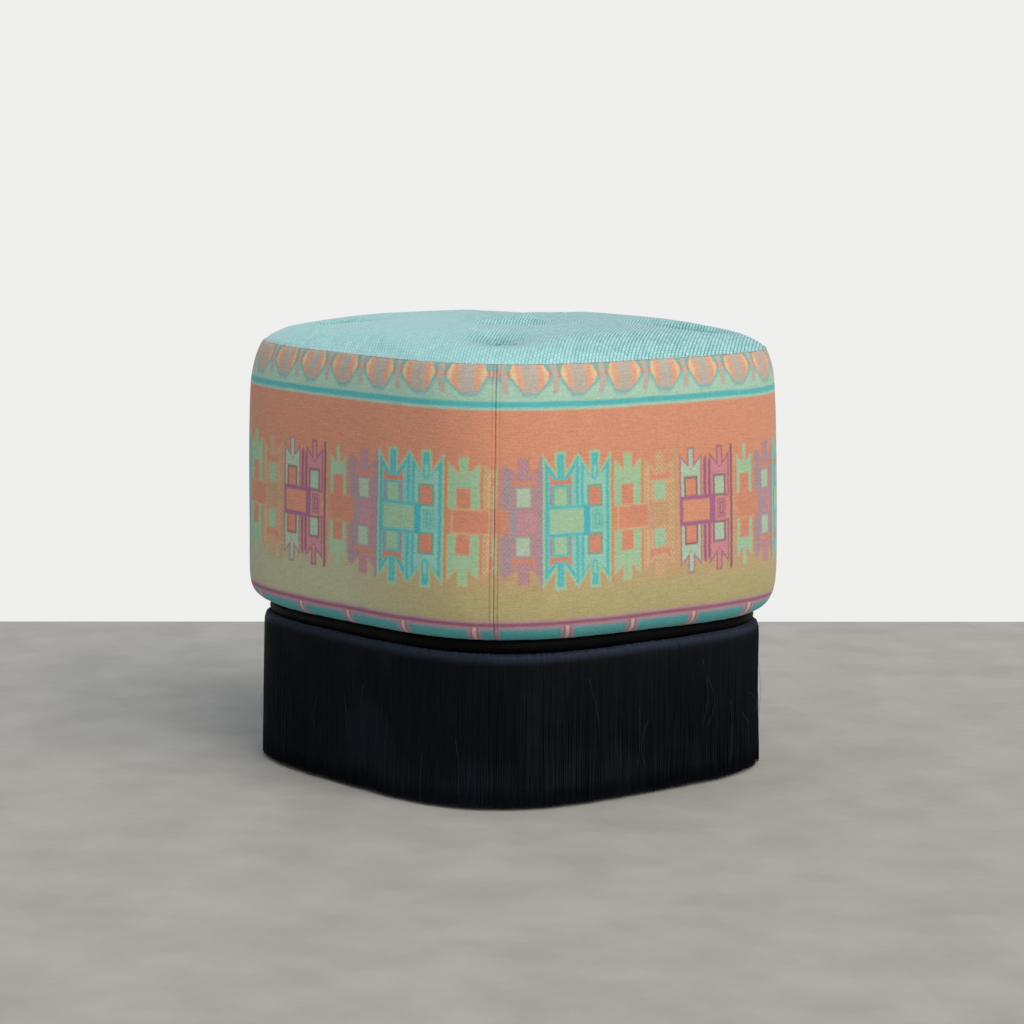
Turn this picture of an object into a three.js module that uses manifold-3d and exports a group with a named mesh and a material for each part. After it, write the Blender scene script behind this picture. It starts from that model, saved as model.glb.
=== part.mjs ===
// A square tuffet with softly bulged sides. A crowned top with five sewn tufts sits on an
// upholstered block, and a recessed plinth carries the block behind a fringe that hangs to the
// floor. Millimetres, +Z up, with the origin on the floor under the middle of the seat. The
// four faces look along X and Y. The side cloth has its two seams at the corners that point
// to -45 and 135 degrees.
import * as THREE from "three";
import { mergeGeometries, mergeVertices } from "three/addons/utils/BufferGeometryUtils.js";
import Module from "manifold-3d";

const wasm = await Module();
wasm.setup();

// Plan of the block
const SIDE = 450;
const SQUARENESS = 3.5; // exponent of the superellipse: 2 is round, more is squarer
const OUTLINE_STEPS = 64; // a multiple of 8, so that every corner and every face has a point

// Clearance between neighbours, and the distance within which two points are one
const GAP = 0.3;
const MERGE_TOLERANCE = 1e-4;

// Seat
const PAD_EDGE = 40; // from the foam's underside up to the top seam
const CROWN_RISE = 20;
const CROWN_POWER = 5; // the crown stays nearly flat and drops close to the seam
const COVER_THICKNESS = 2.6;
const WADDING_THICKNESS = 6;

// Tufts
const TUFT_FROM_POST = 21.6; // along the diagonal, from the corner post's inner face
const DIMPLE_DEPTH = 13;
const DIMPLE_RADIUS = 46;
const TWINE_RADIUS = 1.3;
const KNOT_RADIUS = 3.2;
const KNOT_HEIGHT = 4;
const STITCH_RADIUS = 3.6;
const STITCH_HEIGHT = 1.6;
const TIE_WASHER_RADIUS = 14;
const TIE_WASHER_THICKNESS = 2.5;

// Side cloth and the foam behind it
const CLOTH_THICKNESS = 1.4;
const SIDE_FOAM_DEPTH = 18; // from the cloth's widest inner face to the skin
const BOTTOM_TUCK = 14;
const BOTTOM_ROLL = 62;
const TOP_TUCK = 8;
const TOP_ROLL = 60;
const TURN_UNDER = 10;

// Frame of the block
const FRAME_HEIGHT = 218;
const BOARD_THICKNESS = 15;
const SKIN_THICKNESS = 3;
const POST_WIDTH = 36;
const POST_SETBACK = 3.5;

// Plinth
const PLINTH_HEIGHT = 156;
const PLINTH_INSET = 29;
const PLINTH_BOARD_THICKNESS = 12;
const PLINTH_CLOTH_THICKNESS = 1.2;

// Fringe
const FRINGE_TOP_GAP = 15; // black recess between the block's edge and the fringe
const FRINGE_INSET = 10;
const FRINGE_ROLL_HEIGHT = 22;
const FRINGE_ROLL_THICKNESS = 7;
const STRAND_PITCH = 4.8;
const STRAND_WIDTH = 4.2;
const STRAND_DEPTH = 3.6;
const STRAND_SETBACK = 0.4;
const STRAND_FLARE = 1.5;
const STRAND_ROOT = 2;
const STRAND_RAGGED = 2.5;
const HEM_CLEARANCE = 2;

// Under the plinth
const GLIDE_HEIGHT = 7;
const GLIDE_RADIUS = 14;
const GLIDE_BEVEL = 1.5;
const GLIDE_PIN_RADIUS = 3;
const GLIDE_PIN_LENGTH = 9;
const DUST_COVER_THICKNESS = 0.8;

// Screws between plinth and block
const SCREW_FROM_POST = 27; // along the diagonal, from the post's inner face
const SCREW_RADIUS = 2.5;
const SCREW_LENGTH = 25;
const SCREW_HEAD_RADIUS = 6;
const SCREW_HEAD_HEIGHT = 3;

// Levels, from the floor up
const half = SIDE / 2;
const dustCoverBottom = GLIDE_HEIGHT + GAP;
const plinthBottom = dustCoverBottom + DUST_COVER_THICKNESS + GAP;
const plinthTop = plinthBottom + PLINTH_HEIGHT;
const blockBottom = plinthTop + GAP;
const clothBottom = blockBottom - GAP - CLOTH_THICKNESS;
const deckTop = blockBottom + FRAME_HEIGHT;
const deckBottom = deckTop - BOARD_THICKNESS;
const padBottom = deckTop + GAP;
const seamHeight = padBottom + PAD_EDGE;
const fringeTop = clothBottom - FRINGE_TOP_GAP;
const strandTop = fringeTop - FRINGE_ROLL_HEIGHT;

// Insets from the block's widest outline
const sideFoamInner = CLOTH_THICKNESS + GAP + SIDE_FOAM_DEPTH;
const skinOuter = sideFoamInner + GAP;
const boardInset = skinOuter + SKIN_THICKNESS + GAP;
const plinthSkinOuter = PLINTH_INSET + PLINTH_CLOTH_THICKNESS + GAP;
const plinthBoardInset = plinthSkinOuter + SKIN_THICKNESS + GAP;
const coverInset = TOP_TUCK + CLOTH_THICKNESS + GAP;
const boreRadius = TWINE_RADIUS + GAP;

const quarter = Math.PI / 2;
const corner = Math.PI / 4;
const turn = 2 * Math.PI;

// Materials
const finish = (color, roughness, metalness = 0) =>
  new THREE.MeshStandardMaterial({ color, roughness, metalness });
const aquaCloth = finish("#7fc4c4", 0.9);
const patternedCloth = finish("#d3906f", 0.85);
const blackFringe = finish("#0e1119", 0.6);
const blackCloth = finish("#101114", 0.9);
const whiteWadding = finish("#efece4", 1);
const creamFoam = finish("#e6d9b4", 1);
const plywood = finish("#c9a673", 0.7);
const hardboard = finish("#8a6242", 0.75);
const pine = finish("#d9b98a", 0.7);
const twine = finish("#79b9b8", 0.85);
const greyFelt = finish("#6d6f70", 0.95);
const zincSteel = finish("#a9adb0", 0.4, 1);
const blackPlastic = finish("#1b1c1e", 0.5);

// Radius of the outline with a half side of 1: chords between points of the superellipse, so
// that nested pieces keep their gap on every facet.
const facet = turn / OUTLINE_STEPS;
const curveRadius = (angle) => {
  const across = Math.abs(Math.cos(angle)) ** SQUARENESS;
  const along = Math.abs(Math.sin(angle)) ** SQUARENESS;
  return (across + along) ** (-1 / SQUARENESS);
};
const unitRadius = (angle) => {
  const first = Math.floor(angle / facet) * facet;
  const from = curveRadius(first);
  const to = curveRadius(first + facet);
  const rest = angle - first;
  return (from * to * Math.sin(facet)) / (from * Math.sin(rest) + to * Math.sin(facet - rest));
};
const outlinePoint = (inset, angle) => {
  const radius = (half - inset) * unitRadius(angle);
  return new THREE.Vector2(radius * Math.cos(angle), radius * Math.sin(angle));
};

// Side wall: how far the cloth's outer face draws in at each row of its height.
const bottomRollShares = [0, 0.3, 0.65, 1];
const bottomRows = bottomRollShares.map((share) => ({
  z: clothBottom + share * BOTTOM_ROLL,
  inset: BOTTOM_TUCK * (1 - share) ** 2,
}));
const topRow = (z) => ({
  z,
  inset: TOP_TUCK * Math.max(0, 1 - (seamHeight - z) / TOP_ROLL) ** 2,
});
const padMiddle = (padBottom + seamHeight) / 2;
const wallRows = [...bottomRows, topRow(deckTop), topRow(padMiddle), topRow(seamHeight)];
const wallInset = (z) => {
  const above = Math.max(1, wallRows.findIndex((row) => row.z >= z));
  const low = wallRows[above - 1];
  const high = wallRows[above];
  return THREE.MathUtils.mapLinear(z, low.z, high.z, low.inset, high.inset);
};

// Closed geometry from points and faces of three point numbers
const surface = (points, faces) => {
  const geometry = new THREE.BufferGeometry();
  geometry.setAttribute("position", new THREE.Float32BufferAttribute(points.flat(), 3));
  geometry.setIndex(faces.flat());
  return geometry;
};

// A closed section of inset and z, anticlockwise as seen with the middle of the seat on the
// right, goes round the outline from one angle to another, or all the way round.
const sweptWall = (section, from = 0, to = turn) => {
  const whole = to - from > turn - facet / 2;
  const steps = Math.round((to - from) / facet);
  const count = section.length;
  const points = [];
  for (let step = 0; step < steps + (whole ? 0 : 1); step += 1) {
    const even = (Math.round(from / facet) + step) * facet;
    const angle = THREE.MathUtils.clamp(even, from, to);
    for (const { inset, z } of section) {
      const { x, y } = outlinePoint(inset, angle);
      points.push([x, y, z]);
    }
  }
  const faces = [];
  for (let step = 0; step < steps; step += 1) {
    const here = step * count;
    const there = ((step + 1) % (whole ? steps : steps + 1)) * count;
    for (let i = 0; i < count; i += 1) {
      const j = (i + 1) % count;
      faces.push([here + i, there + i, there + j], [here + i, there + j, here + j]);
    }
  }
  if (!whole) {
    const flat = section.map(({ inset, z }) => new THREE.Vector2(-inset, z));
    const last = steps * count;
    for (const [a, b, c] of THREE.ShapeUtils.triangulateShape(flat, [])) {
      faces.push([a, b, c], [last + a, last + c, last + b]);
    }
  }
  return surface(points, faces);
};

// Each end of a wall that stops short keeps half a gap to its neighbour.
const endAngle = (inset) => GAP / 2 / ((half - inset) * unitRadius(corner));
const rectangle = (outer, inner, bottom, top) => [
  { inset: inner, z: bottom },
  { inset: outer, z: bottom },
  { inset: outer, z: top },
  { inset: inner, z: top },
];

// A flat board of the outline's shape, with round holes
const board = (inset, bottom, top, holes = [], holeRadius = 0) => {
  const angles = Array.from({ length: OUTLINE_STEPS }, (_, step) => step * facet);
  const shape = new THREE.Shape(angles.map((angle) => outlinePoint(inset, angle)));
  for (const [x, y] of holes) {
    const ring = new THREE.Path();
    ring.absarc(x, y, holeRadius, 0, turn, true);
    shape.holes.push(new THREE.Path(ring.getPoints(4).slice(0, -1)));
  }
  const settings = { depth: top - bottom, bevelEnabled: false };
  return new THREE.ExtrudeGeometry(shape, settings).translate(0, 0, bottom);
};

// A round piece on the Z axis from radius and z pairs that start and end on the axis
const turned = (profile, sides = 12) => {
  const points = profile.map(([radius, z]) => new THREE.Vector2(radius, z));
  return new THREE.LatheGeometry(points, sides).rotateX(quarter);
};

// Joining and cutting
const toSolid = (geometry) => {
  const bare = geometry.clone();
  bare.deleteAttribute("normal");
  bare.deleteAttribute("uv");
  const merged = mergeVertices(bare, MERGE_TOLERANCE);
  const vertProperties = merged.getAttribute("position").array;
  const triVerts = new Uint32Array(merged.getIndex().array);
  return new wasm.Manifold(new wasm.Mesh({ numProp: 3, vertProperties, triVerts }));
};
const toGeometry = (solid) => {
  const { vertProperties, triVerts } = solid.getMesh();
  const geometry = new THREE.BufferGeometry();
  geometry.setAttribute("position", new THREE.BufferAttribute(vertProperties, 3));
  geometry.setIndex(new THREE.BufferAttribute(triVerts, 1));
  return geometry;
};

// Places of what repeats. The glides carry the plinth's posts, and the screws stand beside them.
const atCorners = (reach) =>
  [-1, 1].flatMap((x) => [-1, 1].map((y) => [x, y].map((way) => way * reach * Math.SQRT1_2)));
const postReach = (inset) => (half - inset) * unitRadius(corner) - POST_SETBACK - POST_WIDTH / 2;
const plinthPostReach = postReach(plinthBoardInset);
const tuftReach = postReach(boardInset) - POST_WIDTH / 2 - TUFT_FROM_POST;
const tufts = [[0, 0], ...atCorners(tuftReach)];
const screwPlaces = atCorners(plinthPostReach - POST_WIDTH / 2 - SCREW_FROM_POST);
const glidePlaces = atCorners(plinthPostReach);

// Seat surface. A square mesh of lines is stretched over the outline: the larger of a point's
// two line values is its share of the way out to the seam.
const coverHalf = half - coverInset;
const tuftShare = tuftReach / (coverHalf * unitRadius(corner));
const dimpleShare = DIMPLE_RADIUS / coverHalf;
const lineShares = [
  0,
  dimpleShare / 2,
  dimpleShare,
  tuftShare / 2,
  tuftShare - dimpleShare,
  tuftShare - dimpleShare / 2,
  tuftShare,
  tuftShare + dimpleShare / 2,
  (1 + tuftShare + dimpleShare / 2) / 2,
  1,
];
const bothWays = [...lineShares.slice(1).map((share) => -share).reverse(), ...lineShares];

const crownHeight = (x, y) => {
  const share = Math.hypot(x, y) / (coverHalf * unitRadius(Math.atan2(y, x)));
  const crown = seamHeight + CROWN_RISE * (1 - share ** CROWN_POWER);
  const drop = tufts.map(([tuftX, tuftY]) => {
    const distance = Math.hypot(x - tuftX, y - tuftY) / DIMPLE_RADIUS;
    return distance < 1 ? DIMPLE_DEPTH * (1 - distance ** 2) ** 2 : 0;
  });
  return crown - Math.max(...drop);
};
const seatPoint = (u, v, depth) => {
  const share = Math.max(Math.abs(u), Math.abs(v));
  const { x, y } = outlinePoint(coverInset, Math.atan2(v, u)).multiplyScalar(share);
  return [x, y, crownHeight(x, y) - depth];
};

// The grid's faces, and the numbers of its edge points in order round the seat
const gridCount = bothWays.length;
const gridFaces = (first, upwards) => {
  const faces = [];
  for (let i = 0; i < gridCount - 1; i += 1) {
    for (let j = 0; j < gridCount - 1; j += 1) {
      const [a, b] = [first + i * gridCount + j, first + (i + 1) * gridCount + j];
      faces.push(upwards ? [a, b, b + 1] : [a, b + 1, b]);
      faces.push(upwards ? [a, b + 1, a + 1] : [a, a + 1, b + 1]);
    }
  }
  return faces;
};
const gridEdge = () => {
  const last = gridCount - 1;
  const run = Array.from({ length: last }, (_, i) => i);
  return [
    ...run.map((i) => i * gridCount),
    ...run.map((j) => last * gridCount + j),
    ...run.map((i) => (last - i) * gridCount + last),
    ...run.map((j) => last - j),
  ];
};
const gridPoints = (depth) => bothWays.flatMap((u) => bothWays.map((v) => seatPoint(u, v, depth)));
const band = (upper, lower) =>
  upper.flatMap((here, i) => {
    const next = (i + 1) % upper.length;
    return [
      [here, lower[i], lower[next]],
      [here, lower[next], upper[next]],
    ];
  });

// A layer of even thickness, from its depth below the seat's surface
const seatLayer = (depth, thickness) => {
  const points = [...gridPoints(depth), ...gridPoints(depth + thickness)];
  const second = gridCount ** 2;
  const edge = gridEdge();
  const faces = [...gridFaces(0, true), ...gridFaces(second, false)];
  faces.push(...band(edge, edge.map((number) => number + second)));
  return surface(points, faces);
};

// The foam pad: the same top surface, walls that follow the side cloth, and a flat underside
const foamPad = (depth) => {
  const points = gridPoints(depth);
  const faces = gridFaces(0, true);
  let upper = gridEdge();
  const angles = upper.map((number) => Math.atan2(points[number][1], points[number][0]));
  for (const z of [padMiddle, padBottom]) {
    const inset = wallInset(z) + CLOTH_THICKNESS + GAP;
    const lower = angles.map((angle, i) => points.length + i);
    angles.forEach((angle) => points.push([...outlinePoint(inset, angle).toArray(), z]));
    faces.push(...band(upper, lower));
    upper = lower;
  }
  const middle = points.length;
  points.push([0, 0, padBottom]);
  upper.forEach((here, i) => faces.push([here, middle, upper[(i + 1) % upper.length]]));
  return surface(points, faces);
};

// Each tuft pierces the seat for its twine and presses a flat seat for its stitch.
const drill = (radius, bottom, x, y) => {
  const length = seamHeight + CROWN_RISE - bottom;
  return new THREE.CylinderGeometry(radius, radius, length, 8)
    .rotateX(quarter)
    .translate(x, y, bottom + length / 2);
};
const pierced = (geometry) => {
  const drills = tufts.map(([x, y]) => drill(boreRadius, padBottom - GAP, x, y));
  return toGeometry(toSolid(geometry).subtract(toSolid(mergeGeometries(drills))));
};
const stitchSeats = (geometry) => {
  const radius = STITCH_RADIUS + GAP;
  const seats = tufts.map(([x, y]) => drill(radius, crownHeight(x, y), x, y));
  return toGeometry(toSolid(geometry).subtract(toSolid(mergeGeometries(seats))));
};

// Tuft stitch: the knot under the tie washer, the twine up through the seat, and the stitch
// that holds the cover down
const washerBottom = deckBottom - GAP - TIE_WASHER_THICKNESS;
const knotTop = washerBottom - GAP;
const tuftStitch = (x, y) => {
  const stitchBottom = crownHeight(x, y) + GAP;
  return turned([
    [0, knotTop - KNOT_HEIGHT],
    [KNOT_RADIUS, knotTop - KNOT_HEIGHT / 2],
    [KNOT_RADIUS, knotTop],
    [TWINE_RADIUS, knotTop],
    [TWINE_RADIUS, stitchBottom],
    [STITCH_RADIUS, stitchBottom],
    [STITCH_RADIUS, stitchBottom + STITCH_HEIGHT / 2],
    [0, stitchBottom + STITCH_HEIGHT],
  ], 8);
};
const tieWasher = () => {
  const shape = new THREE.Shape().absarc(0, 0, TIE_WASHER_RADIUS, 0, turn, false);
  shape.holes.push(new THREE.Path().absarc(0, 0, boreRadius, 0, turn, true));
  const settings = { depth: TIE_WASHER_THICKNESS, bevelEnabled: false, curveSegments: 6 };
  return new THREE.ExtrudeGeometry(shape, settings).translate(0, 0, washerBottom);
};

// Side cloth: a skin of even thickness, turned under the block's bottom edge
const sideCloth = (from) => {
  const outer = wallRows.map(({ z, inset }) => ({ z, inset }));
  const inner = wallRows.map(({ z, inset }, row) => ({
    z: row === 0 ? z + CLOTH_THICKNESS : z,
    inset: inset + CLOTH_THICKNESS,
  }));
  const turnedEnd = BOTTOM_TUCK + TURN_UNDER;
  const section = [
    { inset: turnedEnd, z: clothBottom },
    ...outer,
    ...inner.reverse(),
    { inset: turnedEnd, z: clothBottom + CLOTH_THICKNESS },
  ];
  const end = endAngle(0);
  return sweptWall(section, from + end, from + 2 * quarter - end);
};

const sideFoam = () => {
  const outside = wallRows
    .filter(({ z }) => z > blockBottom && z <= deckTop)
    .map(({ z, inset }) => ({ z, inset: inset + CLOTH_THICKNESS + GAP }));
  return sweptWall([
    { inset: sideFoamInner, z: blockBottom },
    { inset: BOTTOM_TUCK + CLOTH_THICKNESS + GAP, z: blockBottom },
    ...outside,
    { inset: sideFoamInner, z: deckTop },
  ]);
};

// Skins bend round one face each and meet at the corners.
const skin = (outer, bottom, top, middle) => {
  const end = endAngle(outer);
  const section = rectangle(outer, outer + SKIN_THICKNESS, bottom, top);
  return sweptWall(section, middle - corner + end, middle + corner - end);
};

// Posts stand in the corners with a flat side to the skin.
const post = (inset, bottom, top, angle) => {
  const reach = postReach(inset);
  const height = top - bottom - 2 * GAP;
  return new THREE.BoxGeometry(POST_WIDTH, POST_WIDTH, height)
    .rotateZ(angle)
    .translate(reach * Math.cos(angle), reach * Math.sin(angle), (bottom + top) / 2);
};

// Fringe: the strands leave the plinth, roll over and hang down. The roll is one closed slice
// of header, and the strands are joined to its underside.
const rollOuterShares = [[1, 1], [0.55, 0.98], [0.2, 0.78], [0.03, 0.4], [0, 0]];
const rollReach = PLINTH_INSET - GAP - FRINGE_INSET;
const rollPoint = ([reachShare, heightShare], offset) => {
  const reach = rollReach - offset;
  const height = FRINGE_ROLL_HEIGHT - offset;
  return {
    inset: FRINGE_INSET + offset + reachShare * reach,
    z: strandTop + heightShare * height,
  };
};
const fringeRoll = (from, to) => {
  const outer = rollOuterShares.map((shares) => rollPoint(shares, 0)).reverse();
  const inner = rollOuterShares.map((shares) => rollPoint(shares, FRINGE_ROLL_THICKNESS));
  return sweptWall([...outer, ...inner], from, to);
};

// Evenly spaced places along one side, with the direction outwards at each
const strandPlaces = (from, to) => {
  const inset = FRINGE_INSET + STRAND_SETBACK;
  const path = new THREE.CurvePath();
  const steps = OUTLINE_STEPS / 4;
  const at = (step) => outlinePoint(inset, from + ((to - from) * step) / steps);
  for (let step = 0; step < steps; step += 1) {
    path.add(new THREE.LineCurve(at(step), at(step + 1)));
  }
  const count = Math.floor(path.getLength() / STRAND_PITCH);
  return Array.from({ length: count }, (_, i) => {
    const share = (i + 1 / 2) / count;
    const along = path.getTangentAt(share);
    return { place: path.getPointAt(share), along, outward: new THREE.Vector2(along.y, -along.x) };
  });
};
const raggedPattern = 5; // strands before the hem's steps repeat
const strand = ({ place, along, outward }, number) => {
  const raggedShare = ((number * 2) % raggedPattern) / raggedPattern;
  const ends = [
    { z: HEM_CLEARANCE + STRAND_RAGGED * raggedShare, flare: STRAND_FLARE },
    { z: strandTop + STRAND_ROOT, flare: 0 },
  ];
  const points = ends.flatMap(({ z, flare }) =>
    [[-1 / 2, 0], [1 / 2, 0], [0, -1]].map(([side, back]) => {
      const point = place.clone();
      point.addScaledVector(along, side * STRAND_WIDTH);
      point.addScaledVector(outward, back * STRAND_DEPTH + flare);
      return [point.x, point.y, z];
    }),
  );
  const faces = [[0, 2, 1], [3, 4, 5]];
  for (let i = 0; i < 3; i += 1) {
    const j = (i + 1) % 3;
    faces.push([i, j, 3 + j], [i, 3 + j, 3 + i]);
  }
  return surface(points, faces);
};
const fringe = (middle) => {
  const end = endAngle(FRINGE_INSET);
  const from = middle - corner + end;
  const to = middle + corner - end;
  const strands = mergeGeometries(strandPlaces(from, to).map(strand));
  return toGeometry(toSolid(fringeRoll(from, to)).add(toSolid(strands)));
};

const glide = () =>
  turned([
    [0, 0],
    [GLIDE_RADIUS - GLIDE_BEVEL, 0],
    [GLIDE_RADIUS, GLIDE_BEVEL],
    [GLIDE_RADIUS, GLIDE_HEIGHT],
    [GLIDE_PIN_RADIUS, GLIDE_HEIGHT],
    [GLIDE_PIN_RADIUS, GLIDE_HEIGHT + GLIDE_PIN_LENGTH],
    [0, GLIDE_HEIGHT + GLIDE_PIN_LENGTH],
  ]);

const screw = () => {
  const headTop = plinthTop - PLINTH_BOARD_THICKNESS - GAP;
  return turned([
    [0, headTop - SCREW_HEAD_HEIGHT],
    [SCREW_HEAD_RADIUS, headTop - SCREW_HEAD_HEIGHT],
    [SCREW_HEAD_RADIUS, headTop],
    [SCREW_RADIUS, headTop],
    [SCREW_RADIUS, headTop + SCREW_LENGTH - SCREW_RADIUS],
    [0, headTop + SCREW_LENGTH],
  ], 8);
};

// The tuffet as named pieces
const group = new THREE.Group();
const add = (parent, name, geometry, material, x = 0, y = 0) => {
  const mesh = new THREE.Mesh(geometry, material);
  mesh.name = name;
  mesh.position.set(x, y, 0);
  parent.add(mesh);
};
const addAtPlaces = (parent, name, makeGeometry, material, places) =>
  places.forEach(([x, y], i) => {
    add(parent, `${name}_${i + 1}`, makeGeometry(x, y), material, x, y);
  });
const faceAngles = [0, quarter, 2 * quarter, 3 * quarter];
const faceNames = ["right", "back", "left", "front"];
const cornerAngles = faceAngles.map((angle) => angle + corner);

const seat = new THREE.Group();
const waddingDepth = COVER_THICKNESS + GAP;
const foamDepth = waddingDepth + WADDING_THICKNESS + GAP;
const coverSkin = stitchSeats(seatLayer(0, COVER_THICKNESS));
add(seat, "top_cover", pierced(coverSkin), aquaCloth);
add(seat, "top_wadding", pierced(seatLayer(waddingDepth, WADDING_THICKNESS)), whiteWadding);
add(seat, "top_foam", pierced(foamPad(foamDepth)), creamFoam);
addAtPlaces(seat, "tuft_stitch", tuftStitch, twine, tufts);
addAtPlaces(seat, "tie_washer", tieWasher, greyFelt, tufts);
group.add(seat);

const block = new THREE.Group();
add(block, "side_cloth_right", sideCloth(-corner), patternedCloth);
add(block, "side_cloth_left", sideCloth(-corner + 2 * quarter), patternedCloth);
add(block, "side_foam", sideFoam(), creamFoam);
const deck = board(boardInset, deckBottom, deckTop, tufts, boreRadius);
add(block, "deck_board", deck, plywood);
const screwBore = SCREW_RADIUS + GAP;
const blockBoardTop = blockBottom + BOARD_THICKNESS;
const base = board(boardInset, blockBottom, blockBoardTop, screwPlaces, screwBore);
add(block, "bottom_board", base, plywood);
faceAngles.forEach((angle, i) => {
  const panel = skin(skinOuter, blockBottom, deckTop, angle);
  add(block, `side_skin_${faceNames[i]}`, panel, hardboard);
});
cornerAngles.forEach((angle, i) => {
  add(block, `corner_post_${i + 1}`, post(boardInset, blockBoardTop, deckBottom, angle), pine);
});
group.add(block);

const plinth = new THREE.Group();
const plinthFloorTop = plinthBottom + PLINTH_BOARD_THICKNESS;
const plinthLidBottom = plinthTop - PLINTH_BOARD_THICKNESS;
const pinBore = GLIDE_PIN_RADIUS + GAP;
const lid = board(plinthBoardInset, plinthLidBottom, plinthTop, screwPlaces, screwBore);
add(plinth, "plinth_top_board", lid, plywood);
const floor = board(plinthBoardInset, plinthBottom, plinthFloorTop, glidePlaces, pinBore);
add(plinth, "plinth_bottom_board", floor, plywood);
cornerAngles.forEach((angle, i) => {
  const leg = post(plinthBoardInset, plinthFloorTop, plinthLidBottom, angle);
  add(plinth, `plinth_post_${i + 1}`, leg, pine);
});
faceAngles.forEach((angle, i) => {
  const panel = skin(plinthSkinOuter, plinthBottom, plinthTop, angle);
  add(plinth, `plinth_skin_${faceNames[i]}`, panel, hardboard);
});
const clothEdge = PLINTH_INSET + PLINTH_CLOTH_THICKNESS;
const wrap = sweptWall(rectangle(PLINTH_INSET, clothEdge, plinthBottom, plinthTop));
add(plinth, "plinth_cloth", wrap, blackCloth);
faceAngles.forEach((angle, i) => {
  add(plinth, `fringe_${faceNames[i]}`, fringe(angle), blackFringe);
});
addAtPlaces(plinth, "plinth_screw", screw, zincSteel, screwPlaces);
const dustTop = dustCoverBottom + DUST_COVER_THICKNESS;
const dust = board(plinthBoardInset, dustCoverBottom, dustTop, glidePlaces, pinBore);
add(plinth, "dust_cover", dust, blackCloth);
addAtPlaces(plinth, "glide", glide, blackPlastic, glidePlaces);
group.add(plinth);

export default group;
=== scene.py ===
import bpy
from bpy.props import FloatProperty, FloatVectorProperty, IntProperty, PointerProperty
from mathutils import Euler, Matrix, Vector
from numpy import (arange, arctan2, array, asarray, broadcast_arrays, broadcast_to, clip, concatenate,
                   cos, cross, cumsum, degrees, diff, exp, flatnonzero, float32, floor, full, full_like,
                   gradient, hypot, int64, interp, linspace, maximum, meshgrid, minimum, mod, ones, pi,
                   radians, sin, sort, stack, tile, unique, where, zeros)
from numpy.linalg import norm
from numpy.random import default_rng


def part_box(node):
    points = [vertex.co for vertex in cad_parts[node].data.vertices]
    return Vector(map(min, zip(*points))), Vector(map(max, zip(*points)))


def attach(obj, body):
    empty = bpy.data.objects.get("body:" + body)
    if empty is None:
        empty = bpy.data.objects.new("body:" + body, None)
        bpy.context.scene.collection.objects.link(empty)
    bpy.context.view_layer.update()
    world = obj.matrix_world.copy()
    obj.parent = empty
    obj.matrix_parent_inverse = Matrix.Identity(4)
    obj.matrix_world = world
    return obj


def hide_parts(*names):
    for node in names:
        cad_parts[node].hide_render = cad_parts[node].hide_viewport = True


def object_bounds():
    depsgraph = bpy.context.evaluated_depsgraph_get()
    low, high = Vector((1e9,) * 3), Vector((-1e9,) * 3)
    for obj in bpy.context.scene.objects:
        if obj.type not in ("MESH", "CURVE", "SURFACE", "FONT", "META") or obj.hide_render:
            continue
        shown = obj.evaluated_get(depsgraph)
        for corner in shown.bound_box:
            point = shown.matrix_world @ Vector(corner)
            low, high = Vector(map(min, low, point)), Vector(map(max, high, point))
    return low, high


bl_info = {
    "name": "Fringed Tuffet",
    "version": (1, 0, 0),
    "blender": (4, 5, 0),
    "location": "3D View > Sidebar > Tuffet",
    "description": "Dresses the packed tuffet: woven cover, patterned side cloth, fringe, hidden build",
    "category": "Object",
}

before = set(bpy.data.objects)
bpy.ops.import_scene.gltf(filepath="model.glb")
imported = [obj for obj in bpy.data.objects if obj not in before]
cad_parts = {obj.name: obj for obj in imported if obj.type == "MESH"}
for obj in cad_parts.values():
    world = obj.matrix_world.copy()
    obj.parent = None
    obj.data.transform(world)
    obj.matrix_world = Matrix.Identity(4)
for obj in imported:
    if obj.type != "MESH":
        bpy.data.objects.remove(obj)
CAD_LOW, CAD_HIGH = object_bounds()
MM = 0.001
SEAMS = {"front": radians(-43.93), "back": radians(135.0)}      # where the side panels meet
FRONT_SEAM = 5.1                                # mm from the front corner to the front seam
SLANT = (cos(radians(41)), sin(radians(41)))    # across the cover's rows
COVER_INSET = 9.6 * MM                          # from the widest outline in to the cover's seam
STITCH_AWAY = 3.7 * MM                          # from a corner seam to each row of its stitches
COARSE = 113                                    # points across the cover while it is stuffed
FINER = 4                                       # how many times finer its weave is then made
TUFT_PULLS = (0.8, 0.6, 0.45, 0.5, 1.0)         # share of the full depth: the front tuft is tied tightest
TUFT_PAINTED_SHADES = (1.1, 1.3, 0.8, 1.7, 0.85)        # how dark the painted shade in each tuft's dimple is
COLUMNS = 8                                     # columns of figures in a repeat of the side cloth
SWING = 0.225                                   # metres out at which a strand's sideways shift turns it
LOOSE = 9                                       # loose hairs on each side of the fringe


def linear(code):
    """The linear colour, with alpha, of an sRGB hex value."""
    parts = [int(code[i:i + 2], 16) / 255 for i in (1, 3, 5)]
    return tuple(p / 12.92 if p <= 0.04045 else ((p + 0.055) / 1.055) ** 2.4 for p in parts) + (1.0,)


# ------------------------------------------------------------------ what a user would change


def length(name, description, default):
    """A length in metres that shows with its unit."""
    return FloatProperty(name=name, description=description, default=default, unit="LENGTH",
                         subtype="DISTANCE", precision=4)


def thread(name, code):
    """A dyed yarn's colour."""
    return FloatVectorProperty(name=name, description="Colour of this dyed yarn", size=4, subtype="COLOR",
                               min=0.0, max=1.0, default=linear(code))


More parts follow.
